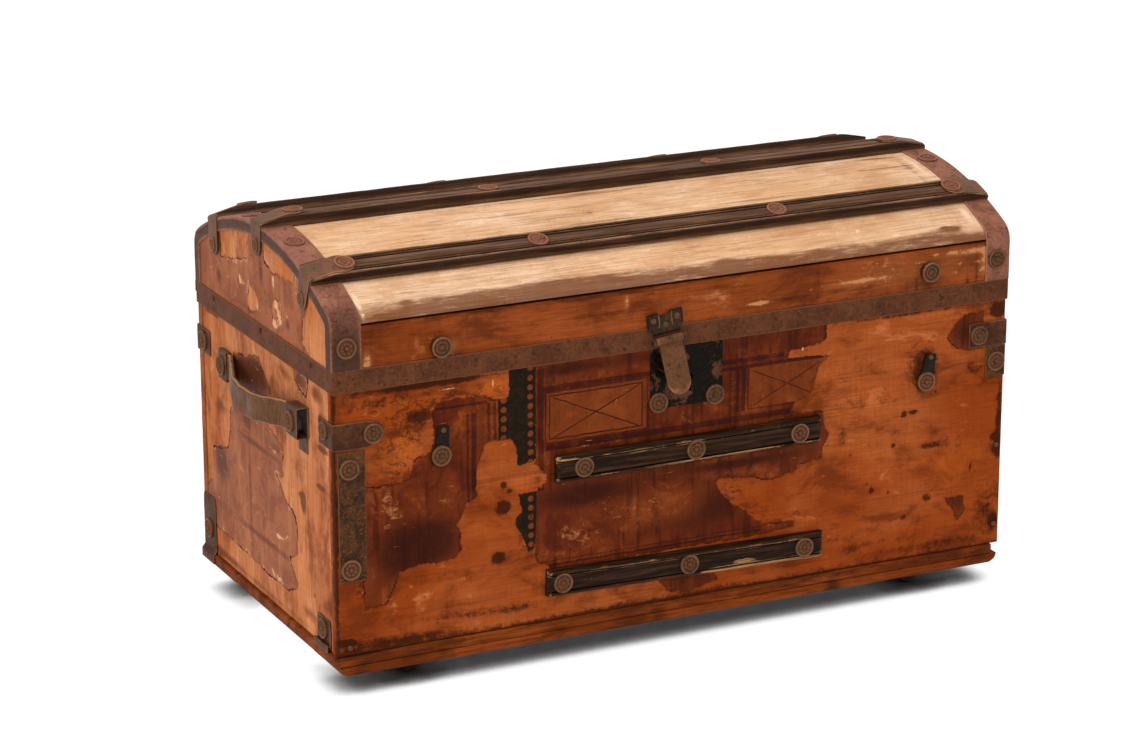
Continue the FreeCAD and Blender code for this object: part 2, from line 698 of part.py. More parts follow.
def wrap_strap(name, side, face, rise, leg):
    """Steel strap bent round an upright corner, with a round lobe at its end along the front or back."""
    outer = f"({half_length} + band_thickness)"
    across = mirror_pair(side, f"{half_length} - {leg}", outer)
    z = (f"{rise} - strap_height/2", f"{rise} + strap_height/2")
    if face == "front":
        skin = (f"{front} - band_thickness", front)
        along = (front, f"{front} + end_leg")
        lobe_y = f"{front} - band_thickness"
    else:
        skin = (back, f"{back} + band_thickness")
        along = (f"{back} - end_leg", back)
        lobe_y = back
    lobe_x = f"{side}*({half_length} - {leg})"
    pieces = [
        block(f"{name}_front", across, skin, z),
        block(f"{name}_end", mirror_pair(side, half_length, outer), along, z),
        rod(f"{name}_lobe", (lobe_x, lobe_y, rise), "disc_radius + 1", "band_thickness", ("0", "0", "-90")),
    ]
    node(name, fuse(name, pieces))


def plate_below(strap_rise, gap, height):
    """Foot and top of an upright plate that hangs below a wrap strap."""
    top = f"({strap_rise} - strap_height/2 - {gap})"
    return f"({top} - {height})", top


long_plate_z = plate_below(left_strap_z, "plate_gap", "long_plate_height")
short_plate_z = plate_below(right_strap_z, "short_plate_gap", "short_plate_height")


def corner_plates():
    skin = (f"{front} - band_thickness", front)
    left = (f"-{half_length} + plate_inset", f"-{half_length} + plate_inset + long_plate_width")
    right = (f"{half_length} - short_plate_width", half_length)
    node("left_corner_plate", block("left_corner_plate", left, skin, long_plate_z))
    node("right_corner_plate", block("right_corner_plate", right, skin, short_plate_z))


def bottom_straps():
    """Straps up the ends at the four bottom corners."""
    straps = []
    for side, word in ((-1, "left"), (1, "right")):
        across = mirror_pair(side, half_length, f"{half_length} + band_thickness")
        front_y = (f"{front} + low_strap_back", f"{front} + low_strap_back + low_strap_width")
        straps.append(block(
            f"{word}_front_low_strap", across, front_y, (panel_foot, f"{panel_foot} + low_strap_height")))
        back_y = (f"{back} - low_strap_inset - low_strap_width", f"{back} - low_strap_inset")
        straps.append(block(
            f"{word}_back_low_strap", across, back_y, (panel_foot, f"{panel_foot} + back_strap_height")))
    node("bottom_corner_straps", group("bottom_corner_straps", straps))


# --- handles --------------------------------------------------------------------------------------

strap_end = "(box_depth - end_leg - handle_clear)"
strap_foot = f"({strap_end} - foot_length)"
bend_place = f"({strap_end} - bend_back)"
bow_place = f"({strap_end} - bow_back)"


def handle_outline(side, points):
    """Turns (behind the front, off the panel) into x, y on one side."""
    corners = []
    for along, off in points:
        corners.append((f"{side}*({half_length} + ({off}))", f"{front} + ({along})"))
    return corners


def handle(side, word):
    low = f"{handle_z} - strap_width/2"
    flat = ("0", "0", low)
    thick = "strap_thickness/2"
    loop_end = "(handle_front + loop_length)"
    # Straight and slightly rising from the loop, then fullest before it turns to the panel
    grip = handle_outline(side, [
        (f"{loop_end} + fit_gap", f"strap_start + {thick}"),
        (bow_place, f"strap_bow + {thick}"),
        (bend_place, f"strap_bow + {thick} - 1"),
        (bend_place, f"strap_bow - {thick} - 1"),
        (bow_place, f"strap_bow - {thick}"),
        (f"{loop_end} + fit_gap", f"strap_start - {thick}"),
    ])
    node(f"{word}_handle_strap", pad(f"{word}_handle_strap", "XY_Plane", grip, "strap_width", flat))
    rear_end = handle_outline(side, [
        (f"{bend_place} + fit_gap", f"strap_bow + {thick} - 1"),
        (f"{strap_foot} - 4", f"strap_bow - 4"),
        (f"{strap_foot} + 3", "strap_thickness"),
        (strap_end, "strap_thickness"),
        (strap_end, "0"),
        (f"{strap_foot} - 2", "0"),
        (f"{strap_foot} - 7", f"strap_bow - {thick} - 6"),
        (f"{bend_place} + fit_gap", f"strap_bow - {thick} - 1"),
    ])
    front_end = handle_outline(side, [
        (f"{loop_end} - strap_lap", f"strap_start - {thick}"),
        (loop_end, f"strap_start - {thick}"),
        (loop_end, f"strap_start + {thick}"),
        (f"{loop_end} - strap_lap", f"strap_start + {thick}"),
    ])
    node(f"{word}_strap_ends", group(f"{word}_strap_ends", [
        pad(f"{word}_rear_end", "XY_Plane", rear_end, "strap_width", flat),
        pad(f"{word}_front_end", "XY_Plane", front_end, "strap_width", flat),
    ]))
    node(f"{word}_handle_loops", group(f"{word}_handle_loops", [
        handle_loop(side, word),
        rear_plate(side, word),
    ]))


def handle_loop(side, word):
    """Open steel loop that the strap's front end passes through, with a foot plate on the panel."""
    y = (f"{front} + handle_front", f"{front} + handle_front + loop_length")
    tall = "(strap_width/2 + fit_gap + loop_wall)"
    outside = block(
        f"{word}_loop_outside", mirror_pair(side, half_length, f"{half_length} + loop_reach"), y,
        (f"{handle_z} - {tall}", f"{handle_z} + {tall}"),
    )
    inner_out = "(strap_start + strap_thickness/2 + fit_gap)"
    hollow = block(
        f"{word}_loop_hollow", mirror_pair(side, f"{half_length} + loop_wall", f"{half_length} + {inner_out}"),
        (f"{y[0]} - 1", f"{y[1]} + 1"),
        (f"{handle_z} - strap_width/2 - fit_gap", f"{handle_z} + strap_width/2 + fit_gap"),
    )
    tail = block(
        f"{word}_loop_tail", mirror_pair(side, half_length, f"{half_length} + loop_wall"),
        (f"{y[0]} + tail_inset", f"{y[1]} - tail_inset"),
        (f"{handle_z} - {tall} - tail_length", f"{handle_z} - {tall} + 1"),
    )
    return fuse(f"{word}_loop", [cut(f"{word}_loop_ring", outside, hollow), tail])


def rear_plate(side, word):
    """Steel plate that pins the strap's rear end to the panel, with legs above and below the strap."""
    y = (f"{front} + {strap_end} + 1 - rear_plate_length", f"{front} + {strap_end} + 1")
    tall = "(strap_width/2 + fit_gap + loop_wall)"
    outside = block(
        f"{word}_rear_outside",
        mirror_pair(side, half_length, f"{half_length} + strap_thickness + fit_gap + loop_wall"), y,
        (f"{handle_z} - {tall}", f"{handle_z} + {tall}"),
    )
    hollow = block(
        f"{word}_rear_hollow",
        mirror_pair(side, f"{half_length} - 1", f"{half_length} + strap_thickness + fit_gap"),
        (f"{y[0]} - 1", f"{front} + {strap_end} + fit_gap"),
        (f"{handle_z} - strap_width/2 - fit_gap", f"{handle_z} + strap_width/2 + fit_gap"),
    )
    return cut(f"{word}_rear_plate", outside, hollow)


# --- casters --------------------------------------------------------------------------------------

def caster_places():
    for end, side in (("left", -1), ("right", 1)):
        for row, y in (("front", f"{front} + caster_inset_y"), ("back", f"{back} - caster_inset_y")):
            yield f"{row}_{end}", f"{side}*({half_length} - caster_inset_x)", y


def casters():
    frames = []
    axles = []
    half_gap = "(wheel_width/2 + ear_gap)"
    for word, x, y in caster_places():
        plate_half = f"({half_gap} + caster_plate + caster_rim)"
        plate_y = (f"{y} - {plate_half}", f"{y} + {plate_half}")
        pieces = [block(
            f"{word}_caster_plate", (f"{x} - caster_length/2", f"{x} + caster_length/2"), plate_y,
            ("caster_height - caster_plate", "caster_height"),
        )]
        for sign, half in ((-1, "near"), (1, "far")):
            low = f"{y} + {sign}*({half_gap} + caster_plate/2) - caster_plate/2"
            pieces.append(block(
                f"{word}_{half}_ear", (f"{x} - ear_length/2", f"{x} + ear_length/2"),
                (low, f"{low} + caster_plate"), ("wheel_radius - axle_head", "caster_height - caster_plate"),
            ))
        span = f"({half_gap} + caster_plate)"
        along_y = ("0", "0", "-90")
        near_end = (x, f"{y} - {span} - head_thickness", "wheel_radius")
        far_head = (x, f"{y} + {span}", "wheel_radius")
        full = f"2*({span} + head_thickness)"
        hole = rod(f"{word}_ear_hole", near_end, "axle_radius", full, along_y)
        frames.append(cut(f"{word}_caster_frame", fuse(f"{word}_frame_blank", pieces), hole))
        axles.append(fuse(f"{word}_axle", [
            rod(f"{word}_shaft", near_end, "axle_radius", full, along_y),
            rod(f"{word}_head_near", near_end, "axle_head", "head_thickness", along_y),
            rod(f"{word}_head_far", far_head, "axle_head", "head_thickness", along_y),
        ]))
        node(f"{word}_caster_wheel", caster_wheel(word, x, y))
    node("caster_frames", group("caster_frames", frames))
    node("caster_axles", group("caster_axles", axles))


def caster_wheel(word, x, y):
    """Wheel turned about its axle: half of its section, revolved."""
    body = doc.addObject("PartDesign::Body", f"{word}_wheel")
    bore = "(axle_radius + pin_clearance)"
    section = [
        ("-wheel_width/2", bore),
        ("wheel_width/2", bore),
        ("wheel_width/2", "wheel_radius - wheel_rounding"),
        ("wheel_width/2 - wheel_rounding", "wheel_radius", "wheel_rounding", 1),
        ("-wheel_width/2 + wheel_rounding", "wheel_radius"),
        ("-wheel_width/2", "wheel_radius - wheel_rounding", "wheel_rounding", 1),
    ]
    outline = draw(body, "YZ_Plane", section, f"{word}_wheel_section")
    turned = body.newObject("PartDesign::Revolution", f"{word}_wheel_turned")
    turned.Profile = outline
    turned.ReferenceAxis = (outline, ["H_Axis"])
    turned.Angle = 360
    put(body, (x, y, "wheel_radius"))
    return body


# --- hinges ---------------------------------------------------------------------------------------

hinge_y = f"({back} + hinge_out)"


def hinges():
    """Two butt hinges on the back: one knuckle on the box between two on the lid, and a pin."""
    body_leaves = []
    lid_leaves = []
    pins = []
    third = "(hinge_width/3)"
    for side, word in ((-1, "left"), (1, "right")):
        x = f"({side}*({half_length} - hinge_inset))"
        full = (f"{x} - hinge_width/2", f"{x} + hinge_width/2")
        middle = (f"{x} - {third}/2 + fit_gap/2", f"{x} + {third}/2 - fit_gap/2")
        body_blank = fuse(f"{word}_body_leaf_blank", [
            block(f"{word}_body_leaf", full, (back, f"{back} + hinge_thickness"),
                  (f"{joint} - hinge_leaf", f"{joint} - knuckle_radius - 1")),
            block(f"{word}_body_neck", middle, (back, f"{back} + hinge_thickness"),
                  (f"{joint} - knuckle_radius - 2", joint)),
            knuckle(f"{word}_body_knuckle", middle),
        ])
        body_bore = bore_rod(f"{word}_body_bore", full, "0")
        body_leaves.append(cut(f"{word}_body_hinge_leaf", body_blank, body_bore))
        leaf_y = (f"{back} + band_thickness", f"{back} + band_thickness + hinge_thickness")
        leaf_z = (f"{joint} + knuckle_radius + 1", f"{joint} + hinge_leaf")
        parts = [block(f"{word}_lid_leaf", full, leaf_y, leaf_z)]
        for end, stretch in (
            ("a", (full[0], f"{middle[0]} - fit_gap")),
            ("b", (f"{middle[1]} + fit_gap", full[1])),
        ):
            neck_z = (joint, f"{joint} + knuckle_radius + 2")
            parts.append(block(f"{word}_lid_neck_{end}", stretch, leaf_y, neck_z))
            parts.append(knuckle(f"{word}_lid_knuckle_{end}", stretch))
        lid_leaves.append(cut(
            f"{word}_lid_hinge_leaf", fuse(f"{word}_lid_leaf_blank", parts),
            bore_rod(f"{word}_lid_bore", full, "pin_clearance"),
        ))
        pin_end = (full[0], hinge_y, joint)
        pins.append(rod(f"{word}_hinge_pin", pin_end, "hinge_pin_radius", "hinge_width", ("0", "90", "0")))
    node("hinge_body_leaves", group("hinge_body_leaves", body_leaves))
    node("hinge_lid_leaves", group("hinge_lid_leaves", lid_leaves))
    node("hinge_pins", group("hinge_pins", pins))


def knuckle(name, stretch):
    width = f"{stretch[1]} - ({stretch[0]})"
    return rod(name, (stretch[0], hinge_y, joint), "knuckle_radius", width, ("0", "90", "0"))


def bore_rod(name, full, clearance):
    return rod(
        name, (f"{full[0]} - 1", hinge_y, joint), f"hinge_pin_radius + {clearance}", "hinge_width + 2",
        ("0", "90", "0"),
    )


# --- lid ------------------------------------------------------------------------------------------
# Lid outlines are drawn from the middle of the lid at the joint: u towards the back, v up.

def dome_side(offset, foot):
    """Front foot over the dome to the back foot, at an offset out from the lid's outside."""
    half = f"(box_depth/2 + ({offset}))"
    centre = f"(lid_height - {dome_radius})"
    between = f"({dome_radius} - shoulder_radius)"
    shoulder_y = "(box_depth/2 - shoulder_radius)"
    big = f"({dome_radius} + ({offset}))"
    small = f"(shoulder_radius + ({offset}))"
    meet_y = f"({shoulder_y}*{big}/{between})"
    meet_z = f"({centre} + (shoulder_rise - {centre})*{big}/{between})"
    return [
        (f"-{half}", foot),
        (f"-{half}", "shoulder_rise"),
        (f"-{meet_y}", meet_z, small, -1),
        (meet_y, meet_z, big, -1),
        (half, "shoulder_rise", small, -1),
        (half, foot),
    ]


def back_again(corners):
    """The same outline run the other way, so that its arcs bend the other way too."""
    result = []
    for index in range(len(corners) - 1, -1, -1):
        point = corners[index][:2]
        arc = corners[index + 1][2:] if index + 1 < len(corners) else ()
        result.append(point + (arc[0], -arc[1]) if arc else point)
    return result


def dome_strip(name, inner, outer, foot, x_low, x_high):
    """A strip that follows the dome between two offsets, from x_low to x_high."""
    corners = dome_side(outer, foot) + back_again(dome_side(inner, foot))
    place = (x_low, "middle_setback", joint)
    return pad(name, "YZ_Plane", corners, f"({x_high}) - ({x_low})", place)


def lid_wood():
    ring = dome_strip("lid_ring", "-lid_thickness", "0", "0", f"-{half_length}", half_length)
    full = (f"-{half_length} - 1", f"{half_length} + 1")
    seam = f"{joint} + rail_height"
    top = f"{joint} + lid_height + 1"
    middle = "middle_setback"
    places = [f"{middle} + {name}" for name in ("front_slat_place", "middle_slat_place", "back_slat_place")]
    parts = {
        "lid_front_rail": ((f"{front} - 1", middle), (f"{joint} - 1", seam)),
        "lid_back_rail": ((middle, f"{back} + 1"), (f"{joint} - 1", seam)),
        "front_stave": ((f"{front} - 1", places[0]), (seam, top)),
        "front_middle_stave": ((places[0], places[1]), (seam, top)),
        "back_middle_stave": ((places[1], places[2]), (seam, top)),
        "back_stave": ((places[2], f"{back} + 1"), (seam, top)),
    }
    for name, (y, z) in parts.items():
        node(name, common(name, ring, block(name + "_stretch", full, y, z)))
    for side, name in ((-1, "lid_left_end"), (1, "lid_right_end")):
        low, high = mirror_pair(side, f"{half_length} - lid_thickness", half_length)
        place = (low, "middle_setback", joint)
        board = dome_side("-lid_thickness", "0")
        node(name, pad(name, "YZ_Plane", board, "lid_thickness", place))


def hoops():
    """Angle steel bent over each end of the dome: a strip on top and a flange on the end."""
    foot = "band_width - band_drop"
    for side, word in ((-1, "left"), (1, "right")):
        outer = f"{half_length} + hoop_thickness"
        over = mirror_pair(side, f"{outer} - hoop_width", outer)
        down = mirror_pair(side, half_length, outer)
        node(f"{word}_hoop", fuse(f"{word}_hoop", [
            dome_strip(f"{word}_hoop_top", "0", "hoop_thickness", foot, *over),
            dome_strip(f"{word}_hoop_flange", "-hoop_flange", "hoop_thickness", foot, *down),
        ]))


def dome_place(across, rise):
    """Point above the dome and the roll that lays a piece on it; across is from the dome's middle."""
    angle = f"asin(({across})/{dome_radius})"
    far = f"({dome_radius} + ({rise}))"
    y = f"middle_setback + {far}*({across})/{dome_radius}"
    z = f"{joint} + lid_height - {dome_radius} + {far}*cos({angle})"
    return y, z, f"-{angle}"


slat_names = ("front_slat", "middle_slat", "back_slat")


def slats():
    """Grooved slats that run over the hoops and are bevelled down to their ends."""
    half = "(slat_width/2)"
    top = "slat_height"
    groove_low = "(slat_height - groove_depth)"
    right_half = [
        (half, "0"),
        (half, f"{top} - slat_chamfer"),
        (f"{half} - slat_chamfer", top),
        ("groove_offset + slat_groove/2", top),
        ("groove_offset + slat_groove/2", groove_low),
        ("groove_offset - slat_groove/2", groove_low),
        ("groove_offset - slat_groove/2", top),
    ]
    left_half = [(f"-({u})", v) for u, v in reversed(right_half)]
    reach = f"({half_length} + hoop_thickness)"
    for name in slat_names:
        y, z, roll = dome_place(f"{name}_place", "hoop_thickness")
        section = right_half + left_half
        body = pad(name, "YZ_Plane", section, f"2*{reach}", ("0", y, z), ("0", "0", roll), middle=True)
        for side, word in ((-1, "left"), (1, "right")):
            wedge = [
                (f"{side}*{reach}", "slat_end_height"),
                (f"{side}*({reach} + 1)", "slat_end_height"),
                (f"{side}*({reach} + 1)", "slat_height + 1"),
                (f"{side}*({reach} - slat_bevel)", "slat_height + 1"),
                (f"{side}*({reach} - slat_bevel)", "slat_height"),
            ]
            pocket(body, "XZ_Plane", wedge, f"{name}_{word}_bevel")
        node(name, body)


def slat_clamp(name, slat, side, leg):
    """Strap over a slat's end: flat on the slat, down its bevel, then down the end of the lid."""
    end = f"({half_length} + hoop_thickness)"
    over = [
        (f"{end} - clamp_reach", "slat_height"),
        (f"{end} - slat_bevel", "slat_height"),
        (end, "slat_end_height"),
        (end, "0"),
        (f"{end} + clamp_thickness", "0"),
        (f"{end} + clamp_thickness", "slat_end_height + clamp_thickness"),
        (f"{end} - slat_bevel", "slat_height + clamp_thickness"),
        (f"{end} - clamp_reach", "slat_height + clamp_thickness"),
    ]
    outline = [(f"{side}*({u})", v) for u, v in over]
    y, z, roll = dome_place(f"{slat}_place", "hoop_thickness")
    place = ("0", y, z)
    strap = pad(f"{name}_strap", "XZ_Plane", outline, "clamp_width", place, ("0", "0", roll), middle=True)
    half = "(clamp_width/2)"
    leg_face = [
        (f"-{half}", "slat_end_height/2"),
        (f"-{half} + clamp_taper", f"-({leg})"),
        (f"{half} - clamp_taper", f"-({leg})"),
        (half, "slat_end_height/2"),
    ]
    low, _ = mirror_pair(side, end, f"{end} + clamp_thickness")
    lean = ("0", "0", f"{roll}*clamp_lean")
    hanging = pad(f"{name}_leg", "YZ_Plane", leg_face, "clamp_thickness", (low, y, z), lean)
    return fuse(name, [strap, hanging])


def slat_clamps():
    legs = {"front_slat": "front_clamp_leg", "middle_slat": "middle_clamp_leg", "back_slat": "back_clamp_leg"}
    clamps = []
    for slat, leg in legs.items():
        for side, word in ((-1, "left"), (1, "right")):
            if slat == "back_slat" and side > 0:
                continue
            clamps.append(slat_clamp(f"{slat}_{word}_clamp", slat, side, leg))
    node("slat_clamps", group("slat_clamps", clamps))


def lid_band():
    """Steel band nailed to the lid; it laps over the box at the front and the ends, not at the hinges."""
    out = f"({half_length} + band_thickness)"
    z = (band_low, band_high)
    strips = [
        block("band_front", (f"-{out}", out), (f"{front} - band_thickness", front), z),
        block("band_left", (f"-{out}", f"-{half_length}"), (front, back), z),
        block("band_right", (half_length, out), (front, back), z),
        block("band_back", (f"-{out}", out), (back, f"{back} + band_thickness"),
              (f"{joint} + knuckle_radius + 0.5", band_high)),
    ]
    node("lid_band", group("lid_band", strips))


# --- discs and nails ------------------------------------------------------------------------------

def turned_solid(profile):
    """Solid of revolution about Z from (radius, height) points, foot at zero."""
    points = [FreeCAD.Vector(radius, 0, height) for radius, height in profile]
    face = Part.Face(Part.makePolygon(points + points[:1]))
    return face.revolve(FreeCAD.Vector(0, 0, 0), FreeCAD.Vector(0, 0, 1), 360)


def disc_profile():
    radius = value("disc_radius")
    top = value("disc_height")
    dish = value("disc_dish")
    boss = value("boss_radius")
    rise = value("boss_height")
    floor = top - 0.5 * dish
    return [
        (0, 0), (radius, 0), (radius, top - dish), (radius - dish, top), (radius - 2.5 * dish, top),
        (radius - 3 * dish, floor), (boss + dish, floor), (boss, top + rise), (0, top + rise),
    ]


def nail_profile():
    radius = value("nail_radius")
    top = value("nail_height")
    return [(0, 0), (radius, 0), (radius, 0.4 * top), (0.6 * radius, top), (0, top)]


def knob_profile():
    radius = value("knob_radius")
    top = value("knob_height")
    return [
        (0, 0), (radius, 0), (radius, 0.35 * top), (0.8 * radius, 0.55 * top), (0.8 * radius, 0.75 * top),
        (0.5 * radius, top), (0, top),
    ]


def studs(name, profile, places):
    """Copies of one turned piece in one node. A place is (x, y, z, yaw, pitch, roll) as formulas."""
    one = turned_solid(profile)
    copies = []
    for place in places:
        x, y, z, yaw, pitch, roll = (value(part) for part in place)
        copy = one.copy()
        copy.Placement = FreeCAD.Placement(FreeCAD.Vector(x, y, z), FreeCAD.Rotation(yaw, pitch, roll))
        copies.append(copy)
    feature = doc.addObject("Part::Feature", name)
    feature.Shape = Part.makeCompound(copies)
    node(name, feature)


def on_front(x, z, off="0"):
    return (x, f"{front} - ({off})", z, "0", "0", "90")


def on_end(side, y, z, off="0"):
    return (f"{side}*({half_length} + ({off}))", y, z, "0", f"{side}*90", "0")


def on_dome(x, across, off):
    y, z, roll = dome_place(across, off)
    return (x, y, z, "0", "0", roll)


def body_discs():
    off = "band_thickness"
    places = [on_front(x, z, rise) for x, z, rise in bar_disc_places()]
    for side in (-1, 1):
        across = f"plate_right + {side}*(plate_width/2 - plate_disc_inset)"
        places.append(on_front(across, f"{plate_z[0]} + plate_disc_rise", off))
    for x in catch_x.values():
        places.append(on_front(x, body_catch_z, off))
    places.append(on_front(f"-{half_length} + front_leg", left_strap_z, off))
    places.append(on_front(f"{half_length} - right_front_leg", right_strap_z, off))
    long_plate_x = f"-{half_length} + plate_inset + long_plate_width*0.4"
    places.append(on_front(long_plate_x, f"{long_plate_z[1]} - top_disc_drop", off))
    places.append(on_front(long_plate_x, f"{long_plate_z[0]} + foot_disc_rise", off))
    short_middle = f"({short_plate_z[0]} + {short_plate_z[1]})/2"
    places.append(on_front(f"{half_length} - short_plate_width/2", short_middle, off))
    loop_middle = f"{front} + handle_front + loop_length/2"
    rear_middle = f"{front} + {strap_end} + 1 - rear_plate_length/2"
    rear_off = "strap_thickness + fit_gap + loop_wall"
    low_y = f"{front} + low_strap_back + low_strap_width/2"
    back_low_y = f"{back} - low_strap_inset - low_strap_width/2"
    for side in (-1, 1):
        places.append(on_end(side, low_y, f"{panel_foot} + low_disc_rise", off))
        places.append(on_end(side, back_low_y, f"{panel_foot} + back_low_disc_rise", off))
        places.append(on_end(side, f"{back} - end_leg/2", back_strap_z, off))
        places.append(on_end(side, loop_middle, handle_z, "loop_reach"))
        places.append(on_end(side, rear_middle, handle_z, rear_off))
    studs("body_discs", disc_profile(), places)


def body_nails():
    """Nails into the edges of the end panels, and the small nails of the black tabs."""
    places = []
    rows = ((-1, "panel_thickness", ("0.03", "0.95")), (1, "panel_thickness/2", ("0.08", "0.4")))
    for side, inset, shares in rows:
        for share in shares:
            places.append(on_front(f"{side}*({half_length} - {inset})", f"{panel_foot} + {share}*body_height"))
    for side, x in catch_x.items():
        across = f"{x} + tab_nail_rise*sin({side}_tab_lean)"
        places.append(on_front(across, f"{body_catch_z} + tab_nail_rise", "band_thickness"))
    studs("body_nails", nail_profile(), places)


def lid_discs():
    off = "hoop_thickness"
    hoop_x = f"({half_length} + hoop_thickness - hoop_width/2)"
    places = []
    for side, front_disc in ((-1, "left_hoop_disc"), (1, "right_hoop_disc")):
        places.append(on_front(f"{side}*{hoop_x}", f"{joint} + hoop_leg_disc", off))
        places.append(on_dome(f"{side}*{hoop_x}", f"-{front_disc}", off))
        places.append(on_dome(f"{side}*{hoop_x}", "back_hoop_disc", off))
    slat_off = "hoop_thickness + slat_height"
    for slat in slat_names:
        for side in (-1, 1):
            places.append(on_dome(f"{side}*{slat}_disc", f"{slat}_place", slat_off))
            clamp = "" if slat == "back_slat" and side > 0 else " + clamp_thickness"
            end_x = f"{side}*({half_length} - slat_end_disc)"
            places.append(on_dome(end_x, f"{slat}_place", slat_off + clamp))
    studs("lid_discs", disc_profile(), places)


def lid_nails():
    """Small nails along the band, and three in the hasp plate."""
    places = []
    rise = f"{band_low} + band_nail_rise"
    for share in ("-0.419", "-0.2465", "-0.1852", "0.093", "0.2972", "0.4493"):
        places.append(on_front(f"{share}*box_length", rise, "band_thickness"))
    for side in (-1, 1):
        for share in ("0.14", "0.5", "0.86"):
            places.append(on_end(side, f"{front} + {share}*box_depth", rise, "band_thickness"))
    for u, v in (("-hasp_plate_width/3", "0.6"), ("0", "0.25"), ("hasp_plate_width/3", "0.6")):
        w = f"(hasp_plate_rise + {v}*hasp_plate_height)"
        across = f"{hasp_x} + ({u})*cos(hasp_tilt) - {w}*sin(hasp_tilt)"
        up = f"{hasp_z} + ({u})*sin(hasp_tilt) + {w}*cos(hasp_tilt)"
        places.append(on_front(across, up, "2*band_thickness"))
    studs("lid_nails", nail_profile(), places)


def catch_knobs():
    places = [on_front(catch_x[side], lid_catch_z[side]) for side in ("left", "right")]
    studs("catch_knobs", knob_profile(), places)


# --- the trunk ------------------------------------------------------------------------------------

box_panels()
bottom_boards()
runners()
front_bar("upper_front_bar", "bar_length", "upper_bar_right", upper_bar_z, "0")
front_bar("lower_front_bar", "lower_bar_length", "lower_bar_right", lower_bar_z, "lower_bar_tilt")
catch_tabs()
lock_plate()
lock_case()
lock_bolt()
hasp_plate()
hasp_tongue()
wrap_strap("front_left_strap", -1, "front", left_strap_z, "front_leg")
wrap_strap("front_right_strap", 1, "front", right_strap_z, "right_front_leg")
wrap_strap("back_left_strap", -1, "back", back_strap_z, "front_leg")
wrap_strap("back_right_strap", 1, "back", back_strap_z, "front_leg")
corner_plates()
bottom_straps()
handle(-1, "left")
handle(1, "right")
casters()
hinges()
lid_wood()
hoops()
slats()
slat_clamps()
lid_band()
body_discs()
body_nails()
lid_discs()
lid_nails()
catch_knobs()

doc.recompute()

for thing in doc.Objects:
    if "Invalid" in thing.State or "Error" in thing.State:
        raise RuntimeError(f"{thing.Label} failed: {thing.State}")
for label, thing in nodes.items():
    if thing.Shape.isNull() or not thing.Shape.isValid():
        raise RuntimeError(f"{label} has no valid shape")

os.makedirs("parts", exist_ok=True)
for label, thing in nodes.items():
    thing.Shape.exportStep(f"parts/{label}.step")
print(f"{len(nodes)} parts written")
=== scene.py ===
import math

import bmesh
import bpy
import numpy as np
from mathutils import Matrix, Vector


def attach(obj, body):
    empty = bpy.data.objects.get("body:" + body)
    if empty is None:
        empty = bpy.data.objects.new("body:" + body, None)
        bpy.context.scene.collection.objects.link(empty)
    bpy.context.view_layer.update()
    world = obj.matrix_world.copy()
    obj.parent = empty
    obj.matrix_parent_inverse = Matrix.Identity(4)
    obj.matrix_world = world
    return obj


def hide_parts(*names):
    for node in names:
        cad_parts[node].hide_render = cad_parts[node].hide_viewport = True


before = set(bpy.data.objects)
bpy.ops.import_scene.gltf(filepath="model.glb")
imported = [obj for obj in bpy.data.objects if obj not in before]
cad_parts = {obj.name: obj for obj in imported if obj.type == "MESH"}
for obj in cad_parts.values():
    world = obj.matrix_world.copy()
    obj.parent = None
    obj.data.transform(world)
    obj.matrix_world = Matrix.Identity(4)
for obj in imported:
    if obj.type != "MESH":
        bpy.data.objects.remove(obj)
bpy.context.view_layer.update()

# Lengths are in millimetres until a mesh is made. +Z is up and the front faces -Y.
mm = 0.001

# The trunk's main planes, the same as the solids'
trunk = {
    "half": 355.0,  # middle to the end panels' faces
    "front": -163.9,
    "back": 179.1,
    "middle": 7.6,  # middle of the box, front to back
    "panel": 12.0,  # panel thickness
    "runnerFoot": 20.0,
    "boardFoot": 29.5,
    "panelFoot": 40.0,
    "joint": 298.0,
    "lidWood": 10.0,
    "seam": 353.0,  # top of the lid's rails
    "dome": 343.25,  # radius of the dome
    "domeZ": 63.65,  # its centre
    "shoulder": 18.0,  # radius of the shoulders
    "shoulderY": 153.5,  # their centres, from the middle
    "shoulderZ": 350.4,
    "hoop": 1.6,  # hoop steel
    "band": 1.5,  # band and strap steel
}
half, front, back, middle, joint = (trunk[key] for key in ("half", "front", "back", "middle", "joint"))
runnerFoot = trunk["runnerFoot"]

camera = {
    "place": (-1.51684, -3.02359, 1.25390),
    "azimuth": -26.0026,
    "elevation": 17.0824,
    "roll": -0.1177,
    "lens": 114.687,
}
lamps = {
    "top": {"place": (-0.7, -0.5, 3.4), "aim": (0, 0, 0.3), "size": 2.6, "power": 62},
    "left": {"place": (-3.2, -0.9, 1.5), "aim": (0, 0, 0.2), "size": 2.2, "power": 34},
    "front": {"place": (0.9, -3.6, 1.6), "aim": (0, 0, 0.2), "size": 2.4, "power": 22},
}
room = {"world": 0.42, "shadowReach": 0.034, "floorShade": 89, "floor": ((-9, -7), (9, 9))}


def addThing(name, data):
    thing = bpy.data.objects.new(name, data)
    bpy.context.scene.collection.objects.link(thing)
    return thing


def setCamera(spec):
    # leant by its roll, tipped up from looking straight down, then swung round to its azimuth
    data = bpy.data.cameras.new("camera")
    data.lens = spec["lens"]
    data.sensor_width = 36
    data.sensor_fit = "HORIZONTAL"
    data.clip_end = 50
    turn = Matrix.Identity(4)
    for degrees, axis in ((spec["azimuth"], "Z"), (90 - spec["elevation"], "X"), (spec["roll"], "Z")):
        turn = turn @ Matrix.Rotation(math.radians(degrees), 4, axis)
    bpy.context.scene.camera = addThing("camera", data)
    bpy.context.scene.camera.matrix_world = Matrix.Translation(spec["place"]) @ turn


